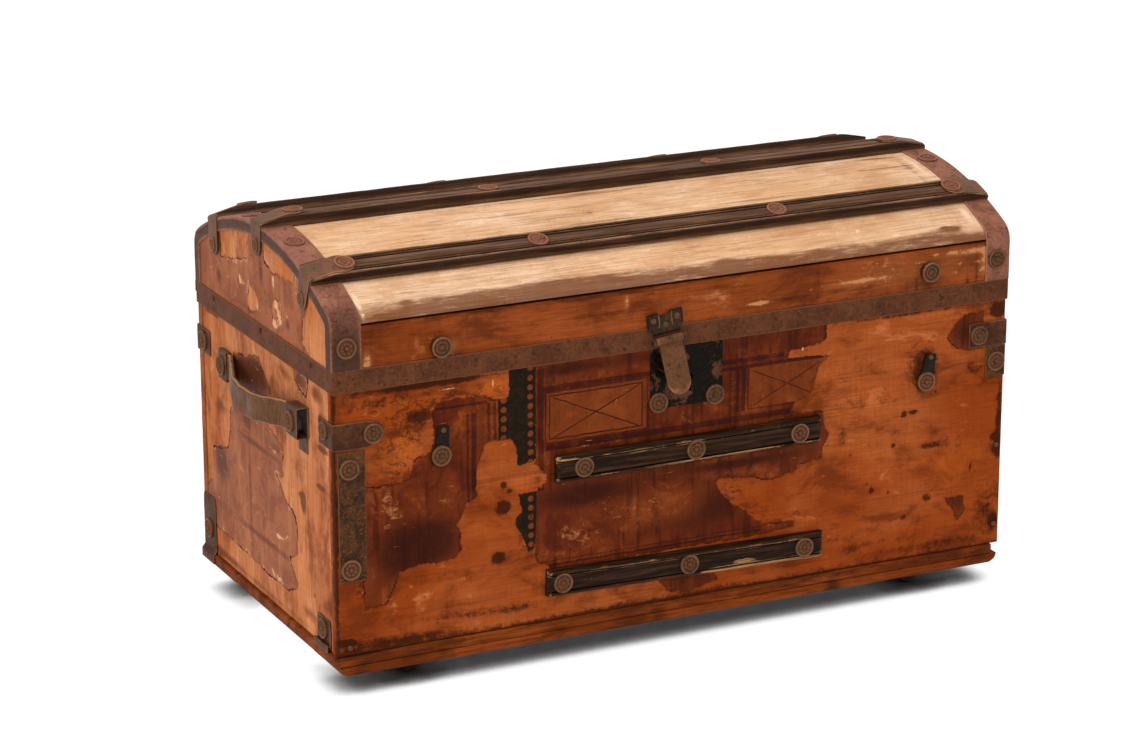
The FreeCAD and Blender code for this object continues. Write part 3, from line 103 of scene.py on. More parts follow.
def setLamps(specs):
    for name, spec in specs.items():
        data = bpy.data.lights.new(name, "AREA")
        data.energy = spec["power"]
        data.shape = "SQUARE"
        data.size = spec["size"]
        place = Vector(spec["place"])
        towards = (Vector(spec["aim"]) - place).to_track_quat("-Z", "Y")
        addThing("lamp_" + name, data).matrix_world = Matrix.Translation(place) @ towards.to_matrix().to_4x4()


def tone(red, green, blue):
    # a colour as it looks on screen, 0 to 255, as linear light
    shown = np.array((red, green, blue)) / 255
    linear = np.where(shown > 0.04045, ((shown + 0.055) / 1.055) ** 2.4, shown / 12.92)
    return (*linear.tolist(), 1.0)


current = {}  # holds the node tree that is being filled


class Level:
    # what a node gives out, so that levels can be added, subtracted and multiplied
    def __init__(self, socket):
        self.socket = socket

    def __add__(self, other):
        return calc("ADD", self, other)

    def __sub__(self, other):
        return calc("SUBTRACT", self, other)

    def __mul__(self, other):
        return calc("MULTIPLY", self, other)


def feed(sockets, sources):
    # links each level, and sets each plain value; a colour is given as it looks on screen
    for key, source in sources.items():
        if isinstance(source, Level):
            current["tree"].links.new(source.socket, sockets[key])
        else:
            sockets[key].default_value = tone(*source) if sockets[key].type == "RGBA" else source


def addNode(kind, inputs, output=0, **settings):
    node = current["tree"].nodes.new("ShaderNode" + kind)
    for key, setting in settings.items():
        setattr(node, key, setting)
    feed(node.inputs, inputs)
    return Level(node.outputs[output])


def calc(operation, first, second=0.0):
    return addNode("Math", {0: first, 1: second}, operation=operation)


def fade(value, low, high, end=1.0, start=0.0):
    # goes smoothly from start to end as a level goes from low to high
    inputs = {"Value": value, "From Min": low, "From Max": high, "To Min": start, "To Max": end}
    return addNode("MapRange", inputs, interpolation_type="SMOOTHSTEP")


def mix(amount, first, second):
    return addNode("Mix", {0: amount, 6: first, 7: second}, 2, data_type="RGBA")


def over(colour, shade, value, low, high, most=1.0):
    # lays a shade over a colour as a level goes from low to high, at most this much
    return mix(fade(value, low, high, most), colour, shade)


def stretched(scale, shift=(0, 0, 0), turn=(0, 0, 0)):
    # object coordinates, moved, turned and stretched
    inputs = {"Vector": addNode("TexCoord", {}, "Object"), "Location": shift, "Rotation": turn,
              "Scale": scale}
    return addNode("Mapping", inputs)


def noise(scale, detail, roughness=0.6, distortion=0.0, shift=(0, 0, 0), turn=(0, 0, 0)):
    vector = stretched(scale if isinstance(scale, tuple) else (scale,) * 3, shift, turn)
    inputs = {"Vector": vector, "Scale": 1.0, "Detail": detail, "Roughness": roughness,
              "Distortion": distortion}
    return addNode("TexNoise", inputs)


def field(name):
    return addNode("Attribute", {}, "Fac", attribute_name=name)


def anyOf(masks):
    total = masks[0]
    for mask in masks[1:]:
        total = calc("MAXIMUM", total, mask)
    return total


def newFinish(name):
    material = bpy.data.materials.new(name)
    material.use_nodes = True
    current["tree"] = material.node_tree
    return material


def nodeOf(kind):
    return next(node for node in current["tree"].nodes if node.type == kind)


def surface(colour, rough, shine, height=None, depth=0.0, strength=0.8, metal=0.0):
    # the finish's colour, roughness and gloss, and its fine relief, whose depth is in metres
    inputs = {"Base Color": colour, "Roughness": rough, "Specular IOR Level": shine, "Metallic": metal}
    if height:
        inputs["Normal"] = addNode("Bump", {"Height": height, "Distance": depth, "Strength": strength})
    feed(nodeOf("BSDF_PRINCIPLED").inputs, inputs)


def lattice(x, y, seed):
    # scattered heights on whole-number points, eased between the four round each place, -1 to 1
    i = np.floor(x)
    j = np.floor(y)
    fx = x - i
    fy = y - j
    fx = fx * fx * (3 - 2 * fx)
    fy = fy * fy * (3 - 2 * fy)

    def height(a, b):
        wave = np.sin(a * 127.1 + b * 311.7 + seed * 74.7) * 43758.5453
        return wave - np.floor(wave)

    low = height(i, j) * (1 - fx) + height(i + 1, j) * fx
    high = height(i, j + 1) * (1 - fx) + height(i + 1, j + 1) * fx
    return (low * (1 - fy) + high * fy) * 2 - 1


def uneven(x, y, size, seed, layers=4):
    # lattice noise at a size in millimetres, plus half as much at half the size, and so on
    total = 0
    strength = 1
    reach = 0
    for layer in range(layers):
        total = total + strength * lattice(x / size * 2**layer, y / size * 2**layer, seed + 13 * layer)
        reach += strength
        strength *= 0.5
    return total / reach


def depthInside(x, y, corners):
    # distance to the nearest side of a closed outline, positive inside it
    nearest = np.full(x.shape, 1e9)
    inside = np.zeros(x.shape, bool)
    for (ax, ay), (bx, by) in zip(corners, corners[1:] + corners[:1]):
        along = np.clip(((x - ax) * (bx - ax) + (y - ay) * (by - ay)) / ((bx - ax)**2 + (by - ay)**2), 0, 1)
        nearest = np.minimum(nearest, np.hypot(x - ax - along * (bx - ax), y - ay - along * (by - ay)))
        crosses = (ay > y) != (by > y)
        inside ^= crosses & (x < (bx - ax) * (y - ay) / np.where(by == ay, 1, by - ay) + ax)
    return np.where(inside, nearest, -nearest)


def spots(x, y, places):
    # a soft round or oval mark at each (x, y, half width, half height, strength)
    total = 0 * x
    for px, py, rx, ry, strength in places:
        total = total + strength * np.exp(-((x - px) / rx)**2 - ((y - py) / ry)**2)
    return total


farOutside = 20.0  # depths beyond this are all the same


def readMarks(marks, u, v):
    # depth inside the outlines of paper and black print, less the bare places, and the strength of all spots
    found = {}
    for key, places in marks.items():
        if key in ("paper", "black", "bare"):
            found[key] = np.max([depthInside(u, v, outline) for outline in places], 0)
        else:
            found[key] = spots(u, v, places)
    if "bare" in found:
        found["paper"] = np.minimum(found["paper"], -found.pop("bare"))
    for key in {"paper", "black"} & set(found):
        found[key] = np.clip(found[key], -farOutside, farOutside)
    return found


def spaced(low, high, step, edge=0.0):
    # places from low to high about a step apart, closer together near both ends to round an edge
    count = max(2, int(round((high - low - 2 * edge) / step)) + 1)
    inner = np.linspace(low + edge, high - edge, count)
    if not edge:
        return inner
    ease = edge * np.array((0, 0.13, 0.5))
    return np.concatenate([low + ease, inner, high - ease[::-1]])


def edgeDrop(distance, radius):
    # how far a quarter-round edge lies below the face, at a distance in from the edge
    near = np.clip(radius - distance, 0, radius)
    return radius - np.sqrt(radius * radius - near * near)


def gridDrop(u, v, radius):
    nearest = np.minimum(np.minimum(u - u.min(), u.max() - u), np.minimum(v - v.min(), v.max() - v))
    return edgeDrop(nearest, radius)


def centres(u):
    return (u[1:, 1:] + u[:-1, :-1]) / 2


def grid(x, y, z):
    return np.stack(np.broadcast_arrays(x, y, z), -1)


def slab(outer, inner, marks, keep=None):
    # an outer and an inner grid of one size, joined by walls round every edge of the cells kept;
    # marks are grids on the outer side, or a function of all the points
    rows, columns = outer.shape[:2]
    count = rows * columns
    index = np.arange(count).reshape(rows, columns)
    if keep is None:
        keep = np.ones((rows - 1, columns - 1), bool)
    top = np.stack([index[:-1, :-1], index[1:, :-1], index[1:, 1:], index[:-1, 1:]], -1)[keep]
    ringed = np.pad(keep, 1)
    sideways = np.stack([index[:, :-1], index[:, 1:]], -1)
    upright = np.stack([index[:-1, :], index[1:, :]], -1)
    after = ringed[1:, 1:-1] & ~ringed[:-1, 1:-1]
    before = ringed[:-1, 1:-1] & ~ringed[1:, 1:-1]
    walls = [sideways[after], sideways[before][:, ::-1]]
    after = ringed[1:-1, 1:] & ~ringed[1:-1, :-1]
    before = ringed[1:-1, :-1] & ~ringed[1:-1, 1:]
    walls = np.concatenate(walls + [upright[after][:, ::-1], upright[before]])
    walls = np.concatenate([walls, walls[:, ::-1] + count], 1)
    used, faces = np.unique(np.concatenate([top, top[:, ::-1] + count, walls]), return_inverse=True)
    points = np.concatenate([outer.reshape(-1, 3), inner.reshape(-1, 3)])[used]
    faces = faces.reshape(-1, 4).tolist()
    if callable(marks):
        return points, faces, marks(points)
    behind = {key: np.full(count, -farOutside if key in ("paper", "black") else 0.0) for key in marks}
    return points, faces, {key: np.concatenate([marks[key].ravel(), behind[key]])[used] for key in marks}


def tube(rings, edge):
    # rings of points joined one to the next, with both ends closed
    index = np.arange(rings[..., 0].size).reshape(rings.shape[:2])
    beside = np.roll(index, -1, 1)
    sides = np.stack([index[:-1], beside[:-1], beside[1:], index[1:]], -1).reshape(-1, 4).tolist()
    return rings.reshape(-1, 3), sides + [index[0, ::-1].tolist(), index[-1].tolist()], {"edge": edge.ravel()}


def build(name, shells, finish, body, slotName, *nodes, sharp=35):
    # slabs and tubes as one mesh piece in metres, its faces turned outwards, placed on its body
    faces = []
    count = 0
    for shell in shells:
        faces += [[corner + count for corner in face] for face in shell[1]]
        count += len(shell[0])
    mesh = bpy.data.meshes.new(name)
    mesh.from_pydata((np.concatenate([shell[0] for shell in shells]) * mm).tolist(), [], faces)
    for key in shells[0][2]:
        values = np.concatenate([shell[2][key] for shell in shells]).astype(np.float32)
        mesh.attributes.new(key, "FLOAT", "POINT").data.foreach_set("value", values)
    whole = bmesh.new()
    whole.from_mesh(mesh)
    bmesh.ops.recalc_face_normals(whole, faces=whole.faces)
    whole.to_mesh(mesh)
    whole.free()
    mesh.polygons.foreach_set("use_smooth", np.ones(len(mesh.polygons), bool))
    mesh.set_sharp_from_angle(angle=math.radians(sharp))
    mesh.materials.append(finishes[finish])
    piece = addThing(name, mesh)
    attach(piece, body)
    if nodes:
        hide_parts(*nodes)


def bentPath(corners, radii, spacing, outward):
    # straight runs between corners, each corner turned as an arc; gives points, outward normals and lengths
    corners = np.array(corners, float)
    runs = [corners[:1]]
    for before, corner, after, radius in zip(corners, corners[1:], corners[2:], radii):
        towards = (corner - before) / np.linalg.norm(corner - before)
        away = (after - corner) / np.linalg.norm(after - corner)
        turn = math.acos(np.clip(towards @ away, -1, 1))
        side = np.sign(towards[0] * away[1] - towards[1] * away[0])
        inward = side * np.array((-towards[1], towards[0]))
        start = corner - towards * radius * math.tan(turn / 2)
        angles = np.linspace(0, turn, 7)[:, None]
        runs.append(start + radius * (inward * (1 - np.cos(angles)) + towards * np.sin(angles)))
    line = np.concatenate(runs + [corners[-1:]])
    reach = np.concatenate([[0], np.cumsum(np.linalg.norm(np.diff(line, axis=0), axis=1))])
    stops = np.unique(np.round(np.concatenate([reach, spaced(0, reach[-1], spacing)]), 4))
    points = np.stack([np.interp(stops, reach, line[:, 0]), np.interp(stops, reach, line[:, 1])], -1)
    tangents = np.gradient(points, stops, axis=0)
    tangents /= np.linalg.norm(tangents, axis=1)[:, None]
    normals = np.stack([tangents[:, 1], -tangents[:, 0]], -1)
    return points, normals if normals[0] @ np.array(outward, float) > 0 else -normals, stops


def onFront(x, z, off):
    return grid(x, front - off, z)


def onBack(x, z, off):
    return grid(x, back + off, z)


def onEnd(side):
    return lambda y, z, off: grid(side * (half + off), y, z)


domeTurn = math.atan2(trunk["shoulderY"], trunk["shoulderZ"] - trunk["domeZ"])
domeReach = domeTurn * trunk["dome"]
shoulderReach = (math.pi / 2 - domeTurn) * trunk["shoulder"]


def domeLine(along, off):
    # y and z at a distance along the lid from its crown: the dome's arc, the shoulder's arc, straight down
    reach = np.abs(along)
    turn = reach / trunk["dome"]
    bend = domeTurn + (reach - domeReach) / trunk["shoulder"]
    big = trunk["dome"] + off
    small = trunk["shoulder"] + off
    onShoulder = reach <= domeReach + shoulderReach
    y = trunk["shoulderY"] + np.where(onShoulder, small * np.sin(bend), small)
    z = trunk["shoulderZ"] + np.where(onShoulder, small * np.cos(bend), domeReach + shoulderReach - reach)
    y = np.where(reach <= domeReach, big * np.sin(turn), y)
    z = np.where(reach <= domeReach, trunk["domeZ"] + big * np.cos(turn), z)
    return middle + np.sign(along) * y, z


def onDome(x, along, off):
    return grid(x, *domeLine(along, off))


def domeAlong(across):
    # distance along the dome for a distance across it
    return trunk["dome"] * math.asin(across / trunk["dome"])


seamAlong = domeReach + trunk["shoulder"] * (
    math.acos((trunk["seam"] - trunk["shoulderZ"]) / trunk["shoulder"]) - domeTurn)
footAlong = domeReach + shoulderReach + trunk["shoulderZ"] - joint


# how far a pine's pattern is stretched along X, Y and Z: rings, fibres, broad and mottled age, streaks and
# saw marks
alongX = (1.6, 14, 14), (22, 520, 520), (4.5, 9, 9), (14, 26, 26), (5, 120, 120), (640, 60, 22)
upright = (14, 14, 1.6), (520, 520, 22), (9, 9, 4.5), (26, 26, 14), (120, 120, 5), (60, 22, 520)

# each pine's stretch; light, warm, dark, aged, deep and pale shades; the number of rings; and how deep the
# rings, fibres, saw marks, age, pale patches and streaks go
pines = {
    "front": (alongX, (190, 97, 44), (160, 68, 14), (118, 46, 10), (112, 44, 8), (54, 18, 2), (214, 124, 70),
              30, (0.1, 0.32, 0.17, 0.85, 0.7, 0.3)),
    "end": (upright, (222, 144, 92), (202, 116, 60), (146, 74, 40), (138, 66, 36), (84, 38, 18),
            (230, 162, 104), 30, (0.16, 0.4, 0.15, 0.85, 0.7, 0.4)),
    "back": (alongX, (180, 100, 50), (150, 74, 28), (110, 52, 20), (114, 52, 20), (54, 24, 8), (206, 134, 80),
             44, (0.3, 0.5, 0.3, 0.8, 0.4, 0.5)),
    "rail": (alongX, (168, 82, 34), (140, 62, 16), (104, 44, 12), (100, 42, 14), (50, 20, 6), (208, 128, 78),
             20, (0.2, 0.45, 0.12, 0.85, 0.75, 0.5)),
    "stave": (alongX, (253, 212, 174), (242, 192, 146), (180, 124, 82), (204, 144, 98), (104, 62, 38),
              (254, 226, 194), 16, (0.08, 0.55, 0.12, 0.6, 0.6, 0.5)),
    "runner": (alongX, (152, 72, 22), (132, 56, 10), (86, 34, 6), (80, 34, 8), (30, 11, 2), (192, 112, 56),
               40, (0.4, 0.65, 0.0, 0.85, 0.6, 0.8)),
}


def pineGrain(stretches, light, warm, dark, aged, deep, pale, ringCount, depths):
    # rings and fibres along the grain, saw marks across it, patches of age, dark streaks, pits and scratches
    kinds = ((2, 0.45), (5, 0.68), (4, 0.55, 0.5), (7, 0.7, 0.4), (4,), (3,))
    slow, fibres, broad, mottle, streaks, saw = (noise(scale, *kind) for scale, kind in zip(stretches, kinds))
    rings = calc("SINE", slow * ringCount)
    pits = noise(210, 3, shift=(3, 1, 2))
    scratches = noise((50, 50, 1500), 2, 0.5, turn=(0, 0.45, 0))
    colour = mix(fade(broad, 0.4, 0.62), light, warm)
    laid = ((rings, -0.2, 1.0, dark), (fibres, 0.4, 0.66, dark), (saw, 0.4, 0.68, dark),
            (mottle, 0.46, 0.66, aged), (mottle, 0.42, 0.3, pale), (streaks, 0.58, 0.72, deep))
    for (value, low, high, shade), depth in zip(laid, depths):
        colour = over(colour, shade, value, low, high, depth)
    colour = over(colour, deep, pits, 0.68, 0.76, 0.7)
    colour = mix(fade(scratches, 0.7, 0.76) * fade(broad, 0.5, 0.35, 0.45), colour, pale)
    return colour, fibres * 1.2 + rings * 0.12 - fade(pits, 0.68, 0.76, 0.6)


def plainPine(name, pine, grimeAndShade, torn):
    # pine darkened where its dark-mark field is high, by dirt, and along the rails' top edges by a painted
    # shadow under the staves; bare torn fibres where the scuff field is
    material = newFinish(name)
    colour, height = pineGrain(*pine)
    cloud = noise((26, 170, 170), 7, 0.74)
    soft = noise((14, 40, 40), 5)
    ragged = noise((90, 160, 160), 5, 0.7)
    scuff = field("scuff")
    # darkens for dirt, and for a painted shadow along the rails' top edges
    colour = over(colour, grimeAndShade, field("stain") + cloud * 3.4 + soft - 2.2, 0.1, 1.3, 0.85)
    colour = over(colour, torn, scuff, 0.05, 0.7, 0.4)
    colour = over(colour, torn, scuff + ragged * 1.8 - 1.0, 0.3, 0.5, 0.85)
    surface(colour, fade(height, 0.3, 0.9, 0.7, 0.5), 0.06, height, 0.0009)
    return material


# each steel's base, second, rust, pit and bright shades, its specks, wear, roughness and metal,
# and for the lock where its second shade starts and ends, and its gloss
steels = {
    "band": ((102, 57, 31), (84, 44, 22), (128, 74, 46), (46, 27, 16), (140, 94, 66), 0.5, 0.5, 0.6, 0.05),
    "wrap": ((66, 32, 14), (88, 52, 30), (110, 54, 26), (34, 17, 9), (140, 96, 72), 0.55, 0.6, 0.55, 0.05),
    "hoop": ((154, 98, 76), (126, 76, 56), (174, 116, 92), (52, 34, 22), (182, 128, 104), 0.5, 0.6, 0.56,
             0.05),
    "clamp": ((98, 68, 46), (118, 74, 52), (140, 84, 58), (48, 34, 24), (160, 124, 96), 0.5, 0.6, 0.52, 0.1),
    "disc": ((96, 64, 38), (106, 60, 36), (130, 72, 42), (50, 34, 22), (134, 106, 76), 0.6, 0.7, 0.5, 0.1),
    "lidDisc": ((132, 80, 58), (114, 66, 46), (152, 98, 72), (78, 42, 30), (178, 122, 96), 0.6, 0.7, 0.55,
                0.05),
    "plate": ((88, 54, 28), (56, 32, 15), (156, 82, 20), (22, 14, 8), (124, 98, 70), 0.45, 0.5, 0.5, 0.05),
    "black": ((18, 11, 5), (32, 21, 11), (104, 58, 30), (8, 6, 3), (112, 88, 62), 0.12, 0.5, 0.36, 0.0),
    "lock": ((17, 12, 6), (96, 58, 38), (70, 46, 26), (8, 7, 3), (150, 118, 88), 0.3, 0.5, 0.36, 0.0, 0.51,
             0.58, 0.06),
    "hasp": ((94, 60, 32), (106, 64, 38), (128, 80, 50), (48, 31, 18), (172, 112, 84), 0.7, 0.6, 0.5, 0.05),
    "haspPlate": ((66, 46, 28), (46, 30, 18), (112, 76, 48), (20, 12, 7), (150, 106, 76), 0.5, 0.7, 0.5,
                  0.05),
    "loop": ((92, 62, 42), (66, 40, 26), (124, 78, 50), (32, 20, 12), (154, 114, 84), 0.5, 0.6, 0.5, 0.05),
    "hinge": ((88, 68, 50), (68, 46, 30), (128, 76, 42), (40, 30, 22), (128, 108, 84), 0.5, 0.5, 0.55, 0.2),
    "caster": ((54, 44, 36), (38, 30, 24), (98, 60, 36), (24, 18, 14), (96, 82, 66), 0.4, 0.5, 0.5, 0.2),
}


def steel(name, base, second, rust, pit, bright, specks, wear, rough, metal, low=0.4, high=0.6, shine=0.12):
    # old steel: patches of rust, fine pits, dark grooves, and brighter metal where hands and edges wore it
    material = newFinish(name)
    patch = noise(38, 6, 0.68, 0.5)
    speck = noise(420, 3, 0.65)
    pits = noise(170, 5, 0.7)
    edge = field("edge")
    colour = mix(fade(patch, low, high), base, second)
    colour = over(colour, rust, speck, 0.5, 0.7, specks)
    colour = over(colour, pit, speck, 0.45, 0.3, specks)
    colour = over(colour, pit, pits, 0.55, 0.68, 0.8)
    colour = over(colour, bright, edge + patch * 1.2 - 0.7, 0.3, 0.9, wear)
    colour = over(colour, pit, edge, -0.15, -0.9, 0.85)
    height = speck * 0.4 - fade(pits, 0.55, 0.68)
    surface(colour, fade(speck, 0.3, 0.7, rough + 0.12, rough - 0.1), shine, height, 0.0005, 0.7, metal)
    return material


# each paint, the paint worn thin, the wood and dark wood under it and the dirt in its grooves; how much its
# edges are rubbed, how bare they get, its roughness and its streaks
paints = {
    "bar": ((26, 12, 3), (96, 60, 34), (186, 140, 96), (104, 70, 44), (5, 2, 1), 1.0, 0.9, 0.42, 0.5),
    "slat": ((78, 50, 32), (128, 92, 66), (178, 130, 100), (112, 76, 54), (18, 8, 3), 0.9, 0.9, 0.55, 0.9),
}


def paintedWood(name, paint, thin, wood, darkWood, dirt, byEdge, bare, rough, streaks):
    # paint over wood, rubbed through to the wood where the edge field is high, and dirty where it is negative
    material = newFinish(name)
    streak = noise((14, 260, 260), 5, 0.7)
    patch = noise((26, 60, 60), 6, 0.75)
    fibres = noise((12, 520, 520), 4, 0.65)
    edge = field("edge")
    rubbed = edge * byEdge + patch * 1.5 + streak * 0.8 - 1.15
    rub = fade(rubbed, 0.45, 0.62, bare)
    colour = over(paint, thin, streak, 0.42, 0.68, streaks)
    colour = mix(rub, colour, mix(fade(fibres, 0.4, 0.6), wood, darkWood))
    colour = over(colour, dirt, edge, -0.1, -0.8, 0.9)
    surface(colour, fade(rubbed, 0.3, 0.7, 0.72, rough), 0.08, fibres * 0.7 - rub * 0.6, 0.0006)
    return material


leather = {
    "hide": (120, 76, 48),
    "second": (112, 72, 42),
    "fibre": (62, 40, 26),
    "wrinkle": (148, 106, 74),
    "frayed": (184, 132, 88),
    "crease": (38, 26, 18),
}


def oldLeather(name):
    # grey-brown hide with fine upright fibres, wrinkled patches and a pale frayed edge
    material = newFinish(name)
    patch = noise(26, 5)
    fibres = noise((700, 700, 60), 4, 0.65)
    wrinkles = noise((170, 170, 210), 5, 0.7, 1.2)
    creases = addNode("TexVoronoi", {"Vector": stretched((260, 260, 420)), "Scale": 1.0}, "Distance",
                      feature="DISTANCE_TO_EDGE")
    colour = mix(fade(patch, 0.4, 0.6), leather["hide"], leather["second"])
    colour = over(colour, leather["fibre"], fibres, 0.4, 0.64, 0.6)
    colour = over(colour, leather["wrinkle"], wrinkles, 0.55, 0.7, 0.5)
    colour = over(colour, leather["frayed"], field("edge") + patch - 0.6, 0.4, 0.85, 0.9)
    colour = over(colour, leather["crease"], creases, 0.06, 0.0, 0.4)
    height = fade(creases, 0.0, 0.15) + fibres * 0.8
    surface(colour, fade(patch, 0.35, 0.65, 0.6, 0.4), 0.15, height, 0.0005, 0.7)
    return material


def boxDepth(x, z, left, right, low, high):
    # how far outside a rectangle a place is, negative inside it
    acrossX = calc("ABSOLUTE", x - (left + right) / 2) - (right - left) / 2
    acrossZ = calc("ABSOLUTE", z - (low + high) / 2) - (high - low) / 2
    return calc("MAXIMUM", acrossX, acrossZ)


def lineMask(distance, width):
    return fade(calc("ABSOLUTE", distance), width * 0.35, width * 0.65, 0.0, 1.0)


def crossLines(x, z, left, right, low, high, width):
    # two diagonals of a rectangle
    reachX = calc("ABSOLUTE", x - (left + right) / 2)
    reachZ = calc("ABSOLUTE", z - (low + high) / 2)
    within = fade(boxDepth(x, z, left, right, low, high), 0.0, 1.0, 0.0, 1.0)
    return lineMask(reachZ - reachX * ((high - low) / (right - left)), width) * within


def dotColumn(x, z, column, low, pitch, radius):
    # a column of round dots
    away = (calc("FRACT", (z - low) * (1 / pitch)) - 0.5) * pitch
    sideways = x - column
    reach = calc("SQRT", away * away + sideways * sideways)
    return fade(reach, radius - 0.7, radius + 0.3, 0.0, 1.0)


# rectangles as left, right, low and high, from the box's left end and the runners' foot, and then a line's
# width
frontPrint = {
    "filled": [(212, 316, 196, 244), (424, 530, 199, 241)],
    "frames": [(215, 311, 199, 241, 1.6), (211, 317, 195, 245, 1.2), (424, 530, 199, 241, 1.4)],
    "crosses": [(219, 307, 200, 239, 1.5), (430, 502, 202, 236, 1.5)],
    "bands": [(203, 209, 150, 268), (203, 320, 246, 251), (396, 462, 246, 251), (211, 470, 188, 194),
              (396, 506, 239.5, 243), (411, 414, 198, 242), (417, 421, 198, 242), (131, 133, 150, 235),
              (136, 141, 150, 235), (152, 155, 207, 243), (158, 161, 207, 243), (100, 152, 243, 245.5),
              (205, 440, 74.5, 76.5), (205, 440, 79, 80)],
    "hatch": (268, 400, 98, 132),
    "dots": [(195.6, 185.0, 9.0, 3.0), (168.3, 202.5, 9.0, 3.2)],  # column, lowest, pitch and radius
}
frontTones = {
    "grimeAndShade": (50, 17, 2),
    "paper": (88, 31, 7),
    "paperLight": (120, 50, 15),
    "rubbed": (160, 78, 32),
    "framed": (142, 68, 24),
    "lines": (56, 15, 8),
    "gloom": (48, 12, 3),
    "ink": (27, 17, 6),
    "inkWorn": (42, 27, 11),
    "dots": (124, 58, 24),
    "scuff": (204, 122, 76),
    "glow": (196, 96, 26),
    "flake": (236, 176, 128),
}


def printedPaper(x, z, mottle, ragged, upright, crumbs):
    # brown paper printed with frames, crosses, bands and a hatch, rubbed pale, darkened in patches, and with
    # a painted shadow under the band
    tones = frontTones
    brown = mix(fade(mottle, 0.38, 0.6), tones["paper"], tones["paperLight"])
    brown = over(brown, tones["gloom"], upright, 0.5, 0.66, 0.6)
    filled = anyOf([fade(boxDepth(x, z, *sides), -2.0, 1.0, 0.0, 1.0) for sides in frontPrint["filled"]])
    brown = mix(filled * fade(mottle, 0.3, 0.62, 0.1, 0.9), brown, tones["framed"])
    brown = over(brown, tones["rubbed"], mottle + ragged * 0.5, 0.8, 0.92, 0.6)
    lines = [lineMask(boxDepth(x, z, *sides), width) for *sides, width in frontPrint["frames"]]
    lines += [crossLines(x, z, *sides) for sides in frontPrint["crosses"]]
    lines += [fade(boxDepth(x, z, *sides), -0.4, 0.4, 0.0, 1.0) for sides in frontPrint["bands"]]
    weave = calc("MAXIMUM", calc("SINE", (x + z) * 1.7), calc("SINE", (x - z) * 1.7))
    hatched = fade(boxDepth(x, z, *frontPrint["hatch"]), -14.0, 4.0, 0.0, 0.75)
    hatched = hatched * fade(mottle, 0.4, 0.6, 1.0, 0.3)
    brown = mix(fade(weave, 0.8, 0.97) * hatched, brown, tones["rubbed"])
    brown = mix(anyOf(lines) * fade(mottle, 0.3, 0.62, 0.6, 1.0), brown, tones["lines"])
    brown = over(brown, tones["gloom"], crumbs, 0.56, 0.7, 0.6)
    brown = over(brown, tones["rubbed"], crumbs, 0.4, 0.3, 0.35)
    # darker patches of paper, and a painted shadow just under the band
    return over(brown, tones["gloom"], field("gloom") + mottle * 2.4 - 1.2, 0.1, 1.1, 0.85)


def frontFinish():
    # pine with the remains of printed brown paper, as frames, crosses and dotted black bands
    material = newFinish("front_pine_and_paper")
    tones = frontTones
    colour, height = pineGrain(*pines["front"])
    wander = noise(70, 3) * 2.4 - 1.2
    x, z = (addNode("SeparateXYZ", {"Vector": stretched((1000,) * 3, (half, 0, -runnerFoot))}, axis) + wander
            for axis in ("X", "Z"))
    ragged = noise(150, 6, 0.7)
    mottle = noise(26, 7, 0.7, 0.6)
    upright = noise((120, 120, 10), 4)
    crumbs = noise((95, 95, 150), 7, 0.78, 0.6)
    shift = ragged * 10.0 - 5.0
    # orange glow, stains, dirt with painted shadow under the band and along the panel's foot, and crackled
    # remains on the bare wood
    colour = over(colour, tones["glow"], field("glow") + mottle * 1.6 - 0.8, 0.2, 0.8, 0.8)
    colour = over(colour, tones["grimeAndShade"], field("stain") + ragged * 1.3 - 0.65, 0.2, 0.7, 0.9)
    crackle = fade(crumbs, 0.5, 0.57) * fade(field("crackle"), 0.1, 0.7, 0.6)
    colour = mix(crackle, colour, tones["grimeAndShade"])
    # the paper and its dark rim
    edgeMm = field("paper") + shift
    paper = fade(edgeMm, -0.5, 0.5)
    colour = mix(paper, colour, printedPaper(x, z, mottle, ragged, upright, crumbs))
    rim = lineMask(edgeMm + 0.4, 1.8) * fade(mottle, 0.42, 0.62, 0.8)
    colour = mix(rim, colour, tones["gloom"])
    # the black dotted bands
    black = fade(field("black") + shift * 0.6, -0.5, 0.5)
    dots = anyOf([dotColumn(x, z, *column) for column in frontPrint["dots"]])
    ink = mix(fade(ragged, 0.45, 0.62), tones["ink"], tones["inkWorn"])
    ink = mix(dots * fade(ragged, 0.3, 0.5), ink, tones["dots"])
    colour = mix(black, colour, ink)
    # pale scuffs, scratches and torn curls
    colour = over(colour, tones["scuff"], field("scuff") + crumbs * 5.0 - 3.1, 0.2, 1.0, 0.75)
    threads = noise((45, 45, 900), 3, 0.55, shift=(1, 0, 0), turn=(0, 0.35, 0))
    colour = mix(fade(threads, 0.71, 0.75) * fade(mottle, 0.5, 0.42), colour, tones["scuff"])
    colour = over(colour, tones["flake"], field("flake") + ragged * 1.4 - 0.8, 0.4, 0.55, 0.9)
    cover = calc("MAXIMUM", paper, black)
    surface(colour, fade(cover, 0.0, 1.0, 0.46, 0.58), 0.06, height * 0.6 + cover + crumbs * 0.4, 0.0009)
    return material


endTones = {
    "paper": (140, 74, 44),
    "worn": (170, 98, 60),
    "pale": (194, 122, 80),
    "gloom": (82, 38, 20),
    "stain": (104, 50, 24),
    # scuff also paints the highlight just inside the paper's torn edges, and edge is the painted shadow just
    # outside them
    "scuff": (236, 180, 134),
    "edge": (44, 18, 8),
}


